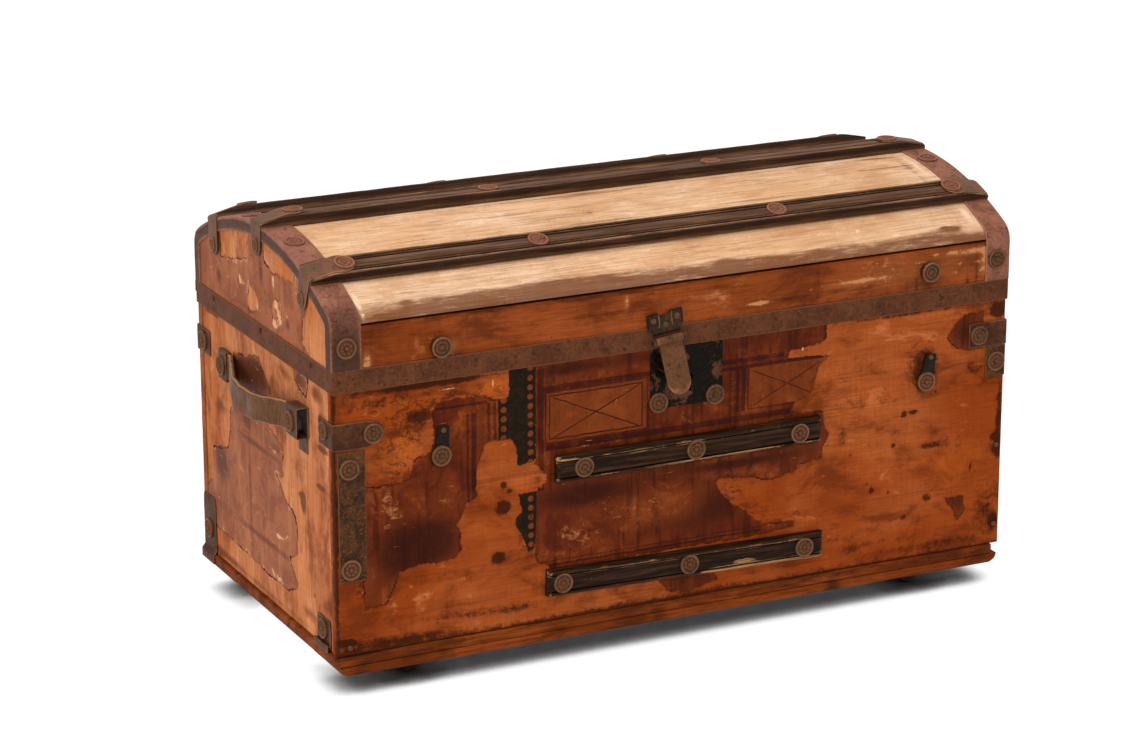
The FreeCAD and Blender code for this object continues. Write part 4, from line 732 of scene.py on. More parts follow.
def endFinish(name, pine):
    # bare pine and torn brown paper with scratches and stripes, a painted highlight just inside the paper's
    # torn edges and a painted shadow just outside them
    material = newFinish(name)
    tones = endTones
    colour, height = pineGrain(*pine)
    ragged = noise(150, 6, 0.7)
    mottle = noise((24, 24, 30), 7, 0.68, 0.7)
    streak = noise((60, 60, 14), 5, 0.65)
    crumbs = noise(110, 7, 0.78, 0.6, (0.3, 0, 0))
    threads = noise((60, 60, 800), 3, 0.55, shift=(2, 0, 0), turn=(0.5, 0.2, 0))
    colour = over(colour, tones["stain"], field("stain") + mottle * 1.4 - 0.7, 0.2, 0.8, 0.85)
    edgeMm = field("paper") + ragged * 12.0 - 6.0
    paper = fade(edgeMm, -0.4, 0.4)
    brown = mix(fade(mottle, 0.38, 0.6), tones["paper"], tones["worn"])
    brown = over(brown, tones["pale"], streak, 0.5, 0.7, 0.6)
    brown = over(brown, tones["gloom"], crumbs, 0.55, 0.66, 0.55)
    brown = over(brown, tones["pale"], crumbs, 0.38, 0.3, 0.6)
    # dark patches of paper, and on the left end a painted shadow behind and round the handle
    brown = over(brown, tones["gloom"], field("gloom") + mottle * 2.2 - 1.0, 0.1, 1.0, 0.8)
    brown = over(brown, tones["scuff"], threads, 0.68, 0.73, 0.8)
    colour = mix(paper, colour, brown)
    # a painted highlight on the curled paper just inside its torn edge, then a painted shadow on the wood
    # just outside it
    colour = mix(lineMask(edgeMm - 1.4, 1.6) * fade(streak, 0.5, 0.65, 0.5), colour, tones["scuff"])
    colour = mix(lineMask(edgeMm + 0.6, 1.9) * fade(mottle, 0.4, 0.58, 1.0, 0.05), colour, tones["edge"])
    colour = over(colour, tones["scuff"], field("scuff") + crumbs * 3.6 - 2.15, 0.25, 0.8, 0.85)
    surface(colour, fade(paper, 0.0, 1.0, 0.48, 0.6), 0.06, height * 0.6 + paper * 1.4 + crumbs * 0.5, 0.001)
    return material


finishes = {
    "front": frontFinish(),
    "end": endFinish("left_end_pine_and_paper", pines["end"]),
    "back": endFinish("back_pine_and_paper", pines["back"]),
    "rail": plainPine("rail_pine", pines["rail"], (62, 27, 8), (212, 142, 90)),
    "stave": plainPine("stave_pine", pines["stave"], (112, 56, 24), (252, 214, 176)),
    "runner": plainPine("runner_pine", pines["runner"], (40, 20, 10), (186, 116, 66)),
    "bar": paintedWood("black_painted_bar", *paints["bar"]),
    "slat": paintedWood("dark_slat_wood", *paints["slat"]),
    "leather": oldLeather("old_leather"),
}
for steelName, steelSpec in steels.items():
    finishes[steelName + "Steel"] = steel(steelName + "_steel", *steelSpec)
print("finishes made")


def paperRelief(u, v, marks, seed, depth):
    # shallow hollows, with the paper standing proud
    return -depth + 0.12 * uneven(u, v, 60, seed) + 0.3 * np.clip(marks["paper"] + 0.5, 0, 1)


def boardPiece(name, step, ease, span, markStart, onFace, finish, marks, seed, slotName, node, hole=None):
    # a board: a grid over its face, rounded at the edges and lowered by its relief, and flat behind
    across = spaced(*span, step, ease[0])
    up = spaced(trunk["panelFoot"], joint, step, ease[1])
    if hole:
        across = np.unique(np.concatenate([across, hole[:2]]))
        up = np.unique(np.concatenate([up, hole[2:]]))
    u, v = np.meshgrid(across, up, indexing="ij")
    found = readMarks(marks, u - markStart, v - runnerFoot)
    keep = None
    if hole:
        within = (centres(u) > hole[0]) & (centres(u) < hole[1])
        keep = ~(within & (centres(v) > hole[2]) & (centres(v) < hole[3]))
    if "black" in found:
        cover = np.clip(np.maximum(found["paper"], found["black"]) + 0.5, 0, 1)
        off = -0.35 + 0.12 * uneven(u, v * 3, 60, seed) + 0.2 * cover - 0.15 * np.clip(found["stain"], 0, 1)
    else:
        off = paperRelief(u * 3, v, found, seed, 0.4)
    off = off - gridDrop(u, v, 1.6 + 0.5 * uneven(u + v, u - v, 23, 3))
    board = slab(onFace(u, v, off), onFace(u, v, -trunk["panel"]), found, keep)
    build(name, [board], finish, "root", slotName, node)


# torn paper and black print as outlines, and spots as (across, up, half width, half height, strength),
# from the panel's left or front edge and the runners' foot
frontMarks = {
    "paper": [
        [(27, 180), (60, 178), (76, 184), (80, 200), (95, 203), (99, 215), (97, 240), (101, 249),
         (128, 252), (150, 249), (160, 244), (176, 243), (176, 206), (150, 206), (147, 198), (141, 184),
         (140, 154), (130, 150), (127, 140), (119, 131), (124, 120), (125, 106), (117, 98), (96, 97),
         (80, 98), (62, 93), (56, 80), (50, 66), (27, 62)],
        [(200, 274), (508, 274), (509, 258), (500, 253), (470, 251), (465, 244), (515, 241), (507, 236),
         (500, 231), (498, 222), (496, 214), (489, 203), (476, 200), (471, 191), (480, 187), (506, 186),
         (507, 172), (512, 163), (511, 155), (505, 150), (505, 139), (479, 137), (478, 130), (455, 126),
         (440, 127), (428, 131), (396, 135), (389, 131), (396, 119), (407, 106), (424, 96), (433, 87),
         (446, 80), (476, 79), (474, 74), (440, 71), (220, 71), (212, 76), (203, 80), (200, 95),
         (198, 120), (199, 140), (203, 152), (212, 158), (213, 165), (205, 173), (200, 179)],
        [(330, 41), (342, 28), (366, 26), (392, 33), (386, 42), (352, 45)],
        [(645, 240), (652, 254), (665, 262), (684, 262), (684, 226), (668, 226), (655, 230)],
        [(645, 76), (668, 76), (668, 60), (662, 50), (656, 62)],
    ],
    "black": [
        [(174, 276), (201, 276), (201, 180), (182, 179), (181, 196), (176, 206), (163, 206), (163, 244),
         (174, 246)],
        [(183, 150), (202, 151), (201, 118), (199, 98), (196, 86), (191, 98), (186, 112), (181, 118),
         (180, 128), (187, 133), (184, 142)],
    ],
    # (340, 265) and (230, 265) paint the band's shadow on the paper just under it; the rest are darker
    # patches of the paper
    "gloom": [(92, 118, 32, 24, 1.2), (60, 112, 26, 30, 0.8), (250, 140, 60, 14, 1.1),
              (120, 165, 30, 18, 0.3), (100, 228, 8, 22, 0.9), (340, 265, 160, 7, 0.7),
              (395, 112, 30, 22, 0.9), (345, 95, 60, 12, 0.5), (230, 265, 30, 8, 0.5),
              (420, 147, 80, 5, 0.9), (445, 190, 40, 5, 0.5), (665, 244, 18, 14, 0.8)],
    # (355, 20) paints shade along the panel's foot, where it meets the bottom board; (90, 269) and (600, 271)
    # paint the band's shadow just under it; the rest are stains and dark joints
    "stain": [(355, 20, 500, 1.6, 1.1), (90, 269, 90, 3.5, 0.9), (36, 258, 34, 6, 0.55),
              (120, 257, 26, 4, 0.45), (600, 271, 110, 2.5, 0.6), (162, 91, 8, 6, 1.1),
              (168, 140, 8, 7, 1.2), (168, 162, 3, 4, 1.0), (174, 155, 4, 3, 0.9), (10, 33, 8, 4, 1.2),
              (12, 23, 6, 3, 1.2), (702, 262, 10, 7, 1.5), (706, 150, 4, 50, 0.8), (597, 169, 3, 3, 1.2),
              (608, 170, 5, 2, 1.2), (586, 139, 3, 3, 0.9), (562, 96, 3, 3, 1.2), (556, 103, 5, 3, 0.5),
              (581, 92, 2, 2, 0.9), (538, 136, 3, 2, 0.7), (627, 133, 14, 3, 0.5), (625, 80, 6, 6, 0.7),
              (600, 63, 4, 3, 0.7), (675, 104, 1.2, 5, 0.9), (703, 44, 5, 8, 1.3), (701, 132, 4, 3, 1.2),
              (618, 214, 16, 24, 0.8), (706, 120, 12, 7, 0.7), (300, 24, 360, 4, 0.5),
              (45, 84, 20, 12, 0.6), (70, 225, 26, 20, 0.38), (85, 240, 14, 8, 0.7),
              (528, 156, 10, 14, 0.5), (540, 40, 30, 8, 0.4), (690, 60, 14, 20, 0.5),
              (120, 42, 60, 7, 0.35), (675, 205, 16, 10, 0.5), (640, 30, 60, 5, 0.5),
              (20, 150, 14, 60, 0.5), (0, 150, 2.5, 150, 1.0), (60, 28, 50, 5, 0.6),
              (180, 38, 34, 5, 0.5), (230, 46, 20, 6, 0.4), (560, 190, 60, 20, 0.3),
              (650, 130, 40, 24, 0.3), (600, 45, 40, 8, 0.3)],
    "scuff": [(52, 166, 10, 10, 0.9), (115, 169, 12, 4, 0.9), (112, 155, 12, 3, 0.8),
              (52, 138, 18, 2, 0.8), (95, 127, 16, 3, 0.6), (52, 58, 14, 12, 0.9), (290, 232, 6, 10, 0.5),
              (560, 101, 10, 1.2, 0.7), (110, 258, 20, 5, 0.5), (30, 90, 14, 10, 0.4),
              (345, 33, 10, 6, 0.7), (230, 108, 12, 9, 0.35), (640, 236, 26, 1.6, 1.0),
              (482, 249, 14, 3, 0.7), (55, 152, 16, 12, 0.9), (300, 215, 10, 8, 0.6),
              (300, 236, 8, 6, 0.6), (270, 122, 50, 18, 0.5), (250, 88, 30, 8, 0.5),
              (405, 240, 70, 1.6, 0.6), (270, 187, 60, 1.8, 0.9), (440, 186, 40, 1.8, 0.7),
              (242, 103, 14, 10, 1.0), (262, 100, 10, 5, 0.8), (75, 78, 14, 2, 0.9),
              (100, 82, 18, 2, 0.9), (124, 76, 10, 3, 0.9), (133, 62, 3, 12, 0.9), (128, 44, 4, 10, 0.7),
              (96, 62, 26, 12, 0.5), (80, 56, 4, 16, 0.6), (330, 116, 50, 14, 0.45),
              (250, 60, 6, 14, 0.3), (690, 216, 8, 20, 0.4)],
    "glow": [(60, 256, 60, 7, 0.3), (70, 215, 26, 30, 0.4), (300, 258, 90, 5, 0.5),
             (620, 130, 80, 40, 0.2), (150, 120, 30, 24, 0.4), (160, 258, 18, 8, 0.6),
             (660, 90, 40, 50, 0.25), (440, 258, 40, 5, 0.6)],
    "crackle": [(66, 214, 26, 34, 0.9), (90, 254, 90, 10, 1.0), (404, 118, 16, 18, 1.0),
                (430, 96, 16, 10, 0.8), (90, 178, 30, 10, 0.7), (190, 110, 10, 34, 0.7),
                (30, 84, 18, 14, 0.9), (520, 60, 12, 16, 0.6), (616, 226, 18, 24, 0.8),
                (700, 60, 12, 26, 0.9), (470, 84, 26, 8, 0.7), (205, 160, 8, 14, 0.7),
                (250, 102, 24, 12, 0.5), (480, 206, 20, 14, 0.4), (690, 196, 14, 14, 0.7),
                (660, 244, 26, 12, 0.6)],
    "flake": [(158, 262, 1.2, 6, 0.8), (112, 262, 12, 1.5, 0.7), (130, 249, 14, 1.2, 0.8),
              (46, 168, 2, 9, 0.7), (26, 80, 3, 8, 0.6), (34, 92, 2, 6, 0.6), (284, 226, 2, 10, 0.7),
              (483, 250, 3, 4, 0.6), (560, 271, 8, 1, 0.7)],
}
leftMarks = {
    "paper": [
        [(186, 258), (168, 247), (155, 235), (158, 215), (160, 195), (140, 190), (126, 183), (127, 157),
         (146, 154), (135, 147), (122, 135), (98, 125), (95, 115), (94, 90), (115, 82), (112, 75),
         (96, 62), (100, 55), (120, 47), (170, 46), (240, 50), (310, 52), (343, 56), (343, 76), (318, 98),
         (312, 132), (270, 142), (262, 165), (262, 180), (250, 200), (243, 225), (250, 244), (220, 250)],
        [(60, 272), (98, 272), (92, 262), (80, 256), (66, 252), (60, 262)],
    ],
    # (236, 216), (196, 222) and (200, 236) paint the shadow behind and round the handle; the rest are dark
    # patches of the paper
    "gloom": [(290, 122, 20, 18, 1.1), (190, 168, 60, 3, 0.8), (175, 78, 70, 3, 0.7),
              (185, 247, 22, 7, 1.2), (200, 236, 40, 6, 1.0), (300, 78, 40, 20, 0.5),
              (213, 120, 3, 60, 0.6), (150, 180, 30, 5, 0.5), (236, 216, 40, 26, 1.6),
              (196, 222, 26, 22, 1.0), (78, 264, 14, 8, 0.7), (130, 60, 30, 8, 0.4),
              (217, 185, 7, 5, 1.3)],
    "stain": [(78, 147, 6, 10, 1.5), (84, 152, 9, 3, 0.8), (35, 174, 11, 2.5, 1.2), (72, 213, 8, 9, 0.8),
              (88, 228, 16, 5, 0.6), (60, 40, 40, 8, 0.6), (340, 190, 4, 60, 0.7), (2, 120, 4, 160, 0.8),
              (315, 270, 10, 3, 0.9), (300, 28, 60, 5, 0.7), (150, 26, 160, 3, 0.5), (55, 63, 3, 2, 1.2),
              (296, 270, 9, 2, 1.2), (27, 212, 14, 3, 1.2), (40, 262, 14, 8, 0.6), (315, 195, 3, 18, 0.5),
              (12, 70, 12, 26, 0.5), (28, 60, 14, 10, 0.7), (112, 232, 26, 22, 0.5),
              (138, 200, 16, 14, 0.6), (30, 236, 20, 24, 0.4), (64, 110, 18, 34, 0.35),
              (16, 160, 12, 34, 0.45), (300, 226, 24, 28, 0.45), (325, 110, 14, 40, 0.5),
              (290, 180, 20, 10, 0.6), (120, 262, 24, 8, 0.6), (76, 182, 20, 8, 0.4)],
    "scuff": [(143, 93, 14, 2.4, 1.2), (186, 147, 9, 2, 0.9), (120, 98, 12, 5, 0.8),
              (180, 112, 12, 16, 0.6), (145, 50, 12, 5, 1.0), (115, 78, 6, 8, 0.6),
              (150, 175, 10, 3, 0.9), (237, 130, 9, 9, 0.7), (205, 100, 4, 14, 0.6),
              (255, 147, 6, 3, 0.8), (285, 163, 16, 3, 0.6), (160, 52, 8, 4, 0.9), (15, 250, 8, 20, 0.6),
              (270, 62, 6, 5, 0.7), (200, 232, 8, 5, 0.6)],
}
rightMarks = {
    "paper": [
        [(20, 60), (60, 52), (130, 66), (180, 58), (235, 80), (255, 130), (230, 170), (250, 215),
         (235, 262), (150, 262), (120, 240), (90, 250), (40, 228), (52, 180), (30, 150), (44, 110)],
    ],
    "gloom": [(90, 120, 40, 16, 0.5), (200, 200, 20, 40, 0.5), (230, 110, 14, 30, 0.6)],
    "stain": [(300, 60, 40, 14, 0.6), (20, 240, 14, 20, 0.8), (320, 200, 14, 50, 0.5),
              (170, 30, 120, 7, 0.5)],
    "scuff": [(120, 150, 14, 5, 0.8), (180, 90, 6, 22, 0.7), (70, 200, 12, 4, 0.7)],
}
backMarks = {
    "paper": [
        [(40, 40), (180, 30), (240, 60), (330, 50), (420, 66), (470, 110), (430, 150), (480, 200),
         (420, 262), (250, 268), (180, 240), (120, 262), (30, 262), (36, 180), (60, 120)],
        [(560, 90), (640, 70), (690, 110), (680, 210), (610, 240), (540, 200)],
    ],
    "gloom": [(160, 120, 90, 30, 0.45), (380, 210, 70, 20, 0.5), (620, 160, 20, 50, 0.5),
              (300, 90, 60, 12, 0.5)],
    "stain": [(500, 60, 60, 14, 0.6), (90, 20, 90, 8, 0.7), (520, 240, 30, 20, 0.7),
              (350, 268, 350, 6, 0.6)],
    "scuff": [(220, 180, 30, 6, 0.8), (400, 120, 8, 26, 0.6), (600, 130, 24, 5, 0.7),
              (120, 220, 12, 10, 0.7)],
}
lockHole = (-33.2, 29.4, 241.4, 290.0)  # the lock case's place in the front panel
endSpan = (front + trunk["panel"], back - trunk["panel"])
boardPiece("front_board", 2.4, (1.6, 1.6), (-half, half), -half, onFront, "front", frontMarks, 5,
           "pine_panel", "front_panel", lockHole)
boardPiece("back_board", 3.2, (1.6, 1.6), (-half, half), -half, onBack, "back", backMarks, 8, "pine_panel",
           "back_panel")
boardPiece("left_end_board", 2.4, (0.8, 1.2), endSpan, front, onEnd(-1), "end", leftMarks, 11, "end_pine",
           "left_end_panel")
boardPiece("right_end_board", 2.4, (0.8, 1.2), endSpan, front, onEnd(1), "end", rightMarks, 11, "end_pine",
           "right_end_panel")
print("box panels made")

skids = {
    "boardEnds": (-358.0, 347.0),
    "boardGap": 1.0,
    "boardTop": 40.0,
    "boardStains": [(-350, -160, 60, 6, 0.8), (120, -164, 200, 3, 0.6)],
    "runnerReach": 353.0,
    "runnerWidth": 70.0,
    "turn": 8.0,  # rounding of the runners' lower ends
    "runnerStains": [(-352, -160, 40, 8, 0.7), (165, -164, 12, 6, 1.0)],
}


def boardSlab(lowX, highX, lowY, highY, foot, top, stains, seed, edge=1.6, turn=0.0):
    # a long board: its face's grid with worn edges, and its lower ends turned up
    x, y = np.meshgrid(spaced(lowX, highX, 5, 2.0), spaced(lowY, highY, 8, edge), indexing="ij")
    drop = gridDrop(x, y, edge)
    wear = 0.25 * (uneven(x, y * 2, 30, seed) - 1)
    lift = edgeDrop(np.minimum(x - lowX, highX - x), turn) if turn else 0
    upper = grid(x, y, top - 0.02 - drop * 0.6)
    under = grid(x, y, foot + drop * 0.9 - wear * 0.4 + lift)
    return slab(under, upper, lambda points: {"stain": spots(points[:, 0], points[:, 1], stains)})


boards = []
depth = (back - front) / 3
for index in range(3):
    lowY = front + index * depth + (skids["boardGap"] / 2 if index else 0)
    highY = front + (index + 1) * depth - (skids["boardGap"] / 2 if index < 2 else 0)
    boards.append(boardSlab(*skids["boardEnds"], lowY, highY, trunk["boardFoot"], skids["boardTop"],
                            skids["boardStains"], 21 + index))
build("bottom_boards_worn", boards, "runner", "root", "runner_pine", "bottom_boards")
for runnerName, lowY in (("front_runner", front), ("back_runner", back - skids["runnerWidth"])):
    reach = skids["runnerReach"]
    runner = boardSlab(-reach, reach, lowY, lowY + skids["runnerWidth"], runnerFoot, trunk["boardFoot"],
                       skids["runnerStains"], 31, 1.8, skids["turn"])
    build(runnerName + "_worn", [runner], "runner", "root", "runner_pine", runnerName)
print("bottom made")


def stave(name, lowAlong, highAlong, marks, seed, step, finish, slotName, node):
    # a strip of the lid: a grid along X and round the dome, thinned at its edges; a rail's marks are in X
    # and Z, a stave's in X and Y
    u, v = np.meshgrid(spaced(-half, half, step, 1.2), spaced(lowAlong, highAlong, step, 0.8), indexing="ij")
    off = -0.3 + 0.16 * uneven(u, v * 4, 70, seed) - gridDrop(u, v, 0.8)
    off = off - 0.5 * np.clip(uneven(u, v, 7, seed + 1) - 0.3, 0, 1) * (gridDrop(u, v, 5.0) > 0.2)
    level = 2 if finish == "rail" else 1
    strip = slab(onDome(u, v, off), onDome(u, v, -trunk["lidWood"]),
                 lambda points: readMarks(marks, points[:, 0], points[:, level]))
    build(name, [strip], finish, "lid", slotName, node)


slatAlong = {"front": domeAlong(-116), "middle": domeAlong(3), "back": domeAlong(117)}
lidMarks = {
    "frontRail": {
        # (0, 353) and (-140, 350) paint the shadow under the front stave's edge along the rail's top; the
        # rest are stains
        "stain": [(0, 353, 400, 2.5, 0.9), (-140, 350, 160, 3.5, 0.6), (140, 322, 90, 4, 0.6),
                  (250, 316, 60, 3, 0.3), (-250, 330, 14, 12, 0.5), (265, 318, 12, 12, 0.5),
                  (144, 337, 1, 18, 0.9), (320, 326, 1.6, 18, 0.9), (310, 315, 2, 8, 0.8),
                  (252, 322, 1.6, 16, 0.8), (-20, 318, 22, 12, 0.5), (60, 343, 90, 2.5, 0.5),
                  (-318, 330, 8, 20, 0.6)],
        "scuff": [(80, 322, 12, 2.0, 0.8), (-272, 330, 2, 6, 0.6), (-240, 322, 12, 8, 0.45),
                  (-321, 318, 5, 10, 0.7), (330, 330, 6, 12, 0.5), (250, 334, 110, 22, 0.28),
                  (190, 330, 30, 2, 0.6), (-60, 340, 3, 8, 0.6), (320, 345, 30, 3, 0.5)],
    },
    "backRail": {
        # a painted shadow under the back stave's edge along the rail's top
        "stain": [(0, 350, 300, 3, 0.7)],
    },
    "frontStave": {
        "stain": [(0, -164, 900, 5.0, 1.1), (-200, -157, 200, 6, 1.1), (80, -158, 130, 4, 0.7),
                  (240, -159, 90, 3.5, 0.5), (0, -164.5, 900, 1.4, 0.5), (-277, -154, 6, 3, 1.2),
                  (-84, -157, 8, 3, 1.0), (50, -158, 12, 4, 0.9), (298, -153, 10, 4, 1.5),
                  (290, -150, 5, 2, 1.2), (270, -156, 24, 3, 0.6), (-120, -154, 70, 2, 0.6),
                  (60, -140, 22, 3, 0.35), (255, -139, 3, 1, 0.9)],
        "scuff": [(-323, -146, 3, 18, 0.7), (322, -138, 5, 12, 0.8), (235, -152, 6, 1.6, 1.0),
                  (-60, -130, 90, 3, 0.35), (180, -140, 60, 6, 0.4), (-240, -128, 60, 2, 0.6)],
    },
    "frontMiddle": {
        "stain": [(-78, -62, 34, 1.0, 1.0), (284, -41, 46, 1.0, 1.0), (160, -30, 24, 6, 0.5),
                  (300, -14, 26, 3, 0.4), (-60, -12, 120, 2.0, 0.9), (200, -12, 120, 1.6, 0.8),
                  (-46, -58, 3, 2, 0.9), (22, -30, 4, 1.5, 1.0), (-98, -36, 4, 2, 0.7),
                  (-40, -92, 60, 1.4, 0.5), (312, -60, 4, 40, 0.7), (180, -92, 100, 1.4, 0.5)],
        "scuff": [(250, -9, 34, 1.8, 1.1), (322, -40, 3, 34, 0.8), (-100, -60, 60, 14, 0.3),
                  (-160, -46, 40, 6, 0.4), (60, -70, 60, 8, 0.3)],
    },
    "backMiddle": {
        "stain": [(-80, 60, 60, 8, 0.4), (120, 90, 90, 2, 0.7), (-200, 30, 90, 1.4, 0.6),
                  (40, 30, 3, 2, 0.8)],
        "scuff": [(0, 40, 90, 8, 0.35), (-312, 60, 4, 30, 0.8), (200, 60, 60, 8, 0.3)],
    },
    "backStave": {
        "stain": [(40, 158, 160, 4, 0.8), (-220, 160, 90, 4, 0.9), (200, 140, 60, 3, 0.4)],
        "scuff": [(-60, 145, 90, 4, 0.4)],
    },
}
rail = ("rail", "pine_panel")
wood = ("stave", "stave_pine")
stave("front_rail_worn", -footAlong, -seamAlong - 0.8, lidMarks["frontRail"], 41, 2.6, *rail,
      "lid_front_rail")
stave("back_rail_worn", seamAlong + 0.35, footAlong, lidMarks["backRail"], 42, 3.4, *rail, "lid_back_rail")
stave("front_stave_worn", -seamAlong + 1.4, slatAlong["front"], lidMarks["frontStave"], 43, 2.2, *wood,
      "front_stave")
stave("front_middle_stave_worn", slatAlong["front"], slatAlong["middle"], lidMarks["frontMiddle"], 44, 3.0,
      *wood, "front_middle_stave")
stave("back_middle_stave_worn", slatAlong["middle"], slatAlong["back"], lidMarks["backMiddle"], 45, 3.0,
      *wood, "back_middle_stave")
stave("back_stave_worn", slatAlong["back"], seamAlong - 0.35, lidMarks["backStave"], 46, 3.0, *wood,
      "back_stave")

lidEndMarks = {
    "paper": [
        [(55, 392), (60, 352), (62, 332), (68, 322), (70, 306), (76, 302), (58, 296), (56, 280),
         (345, 280), (345, 350), (290, 365), (262, 380), (250, 400), (120, 400), (80, 392)],
    ],
    "bare": [
        [(86, 352), (120, 352), (140, 350), (164, 356), (160, 385), (120, 386), (84, 380)],
        [(203, 350), (215, 345), (240, 340), (274, 334), (278, 360), (268, 382), (203, 386)],
        [(207, 308), (203, 325), (190, 322), (176, 314), (178, 304), (200, 298)],
        [(144, 318), (138, 326), (126, 328), (118, 312), (136, 300), (144, 302)],
    ],
    "gloom": [(282, 313, 5, 6, 1.5), (203, 312, 3, 14, 1.2), (170, 345, 4, 12, 1.2),
              (68, 312, 4, 24, 0.9), (230, 300, 60, 6, 0.5), (105, 310, 4, 5, 0.9),
              (276, 350, 3, 14, 1.3), (320, 320, 16, 20, 0.4)],
    "stain": [(20, 298, 10, 6, 0.5), (8, 320, 5, 40, 0.7), (110, 380, 40, 4, 0.7), (240, 380, 30, 4, 0.6),
              (276, 350, 3, 16, 1.0)],
    "scuff": [(139, 341, 4, 10, 1.4), (134, 322, 8, 5, 1.5), (126, 311, 8, 6, 1.5), (138, 302, 7, 5, 1.5),
              (106, 317, 4, 4, 1.2), (225, 325, 3, 6, 1.3), (238, 338, 12, 3, 0.9), (182, 309, 6, 5, 0.9),
              (215, 322, 12, 5, 0.6), (120, 376, 30, 3, 0.8)],
}


def lidEnd(name, side, node):
    # the domed end board: across it, and up to the inside of the dome
    width = trunk["shoulderY"] + trunk["shoulder"] - trunk["lidWood"] - 0.1
    rimY, rimZ = domeLine(np.linspace(-footAlong, footAlong, 1200), -trunk["lidWood"] - 0.1)
    across = spaced(middle - width, middle + width, 2.6, 0.8)
    u, share = np.meshgrid(across, np.linspace(0, 1, 40), indexing="ij")
    v = joint + share * (np.interp(u, rimY, rimZ) - joint)
    found = readMarks(lidEndMarks, u - front, v - runnerFoot)
    outer = onEnd(side)(u, v, paperRelief(u * 3, v, found, 12, 0.35))
    build(name, [slab(outer, onEnd(side)(u, v, -trunk["lidWood"]), found)], "end", "lid", "end_pine", node)


lidEnd("left_lid_end_worn", -1, "lid_left_end")
lidEnd("right_lid_end_worn", 1, "lid_right_end")
print("lid wood made")

bars = {
    "upper": {"x": 5.5, "z": 190.0, "length": 281.0, "tilt": 0.0, "seed": 51,
              "worn": [(-60, 9, 90, 1.6, 0.35), (20, -9.5, 130, 1.5, 0.55), (0, 6.2, 120, 0.8, 0.5),
                       (-128, 9, 12, 2, 0.6), (90, 9.5, 40, 1.6, 0.3)]},
    "lower": {"x": 2.5, "z": 76.0, "length": 294.5, "tilt": 1.3, "seed": 58,
              "worn": [(85, -11.5, 66, 4.2, 1.5), (60, -4, 14, 2.5, 0.8), (-70, 8, 70, 2.6, 0.5),
                       (70, 8.5, 60, 1.6, 0.5), (-40, 0, 60, 2, 0.3), (-100, 0, 20, 3, 0.35)]},
}
# the bar's section: its height, the parts of half of it where its face turns, and how far it stands off there
barSection = {
    "height": 26.0,
    "turns": [0, 0.5, 0.56, 0.62, 0.68, 0.78, 0.88, 1.0],
    "rise": [7.4, 7.6, 8.2, 6.6, 9.0, 9.0, 8.0, 4.5],
    "endHeight": 4.5,
}


def barPiece(name, spec):
    # the bar's section carried along it: a raised middle between two bevelled rails, worn and chipped
    tall = barSection["height"] / 2
    right = np.array([0.3, 0.5, 0.56, 0.62, 0.68, 0.78, 0.88, 0.97, 1])
    v = np.concatenate([-right[::-1], [0], right]) * tall
    rise = np.interp(np.abs(v) / tall, barSection["turns"], barSection["rise"])
    x = spaced(-spec["length"] / 2, spec["length"] / 2, 2.5, 3.5)
    x, v = np.meshgrid(x, v, indexing="ij")
    fromEnd = spec["length"] / 2 - np.abs(x)
    part = np.abs(v) / tall
    crest = np.minimum(rise[None] + 0 * x, barSection["endHeight"] + fromEnd * 1.1)
    edge = (np.abs(part - 0.78) < 0.14) * 0.25
    edge += 0.3 * (np.abs(part - 0.56) < 0.05)
    edge += np.clip(1 - fromEnd / 7, 0, 1) * 0.3 + spots(x, v, spec["worn"])
    edge -= 1.6 * (np.abs(part - 0.62) < 0.03)
    crest = crest - 0.35 * np.clip(uneven(x, v * 3, 16, spec["seed"]), 0, 1) * (edge > 0.2)
    crest = crest - 1.4 * np.clip(edge - 1.1, 0, 0.6)
    turn = math.radians(spec["tilt"])
    place = (spec["x"] + x * math.cos(turn) + v * math.sin(turn),
             spec["z"] - x * math.sin(turn) + v * math.cos(turn))
    whole = slab(onFront(*place, crest), onFront(*place, -0.3), {"edge": edge})
    build(name + "_bar_worn", [whole], "bar", "root", "black_bar", name + "_front_bar")


for barName, barSpec in bars.items():
    barPiece(barName, barSpec)

slats = {
    "width": 29.0,
    "height": 9.0,
    "bevel": 27.0,
    "endHeight": 3.0,
    "reach": 356.6,
    "seeds": {"front": 61, "middle": 64, "back": 67},
}


def onSlat(x, across, off, name, lean=1.0):
    # a place on a slat: flat across the slat's own width, whose middle sits on the dome
    y, z = domeLine(np.array(slatAlong[name]), trunk["hoop"])
    turn = slatAlong[name] / trunk["dome"] * lean
    return grid(x, y + across * np.cos(turn) + off * np.sin(turn),
                z - across * np.sin(turn) + off * np.cos(turn))


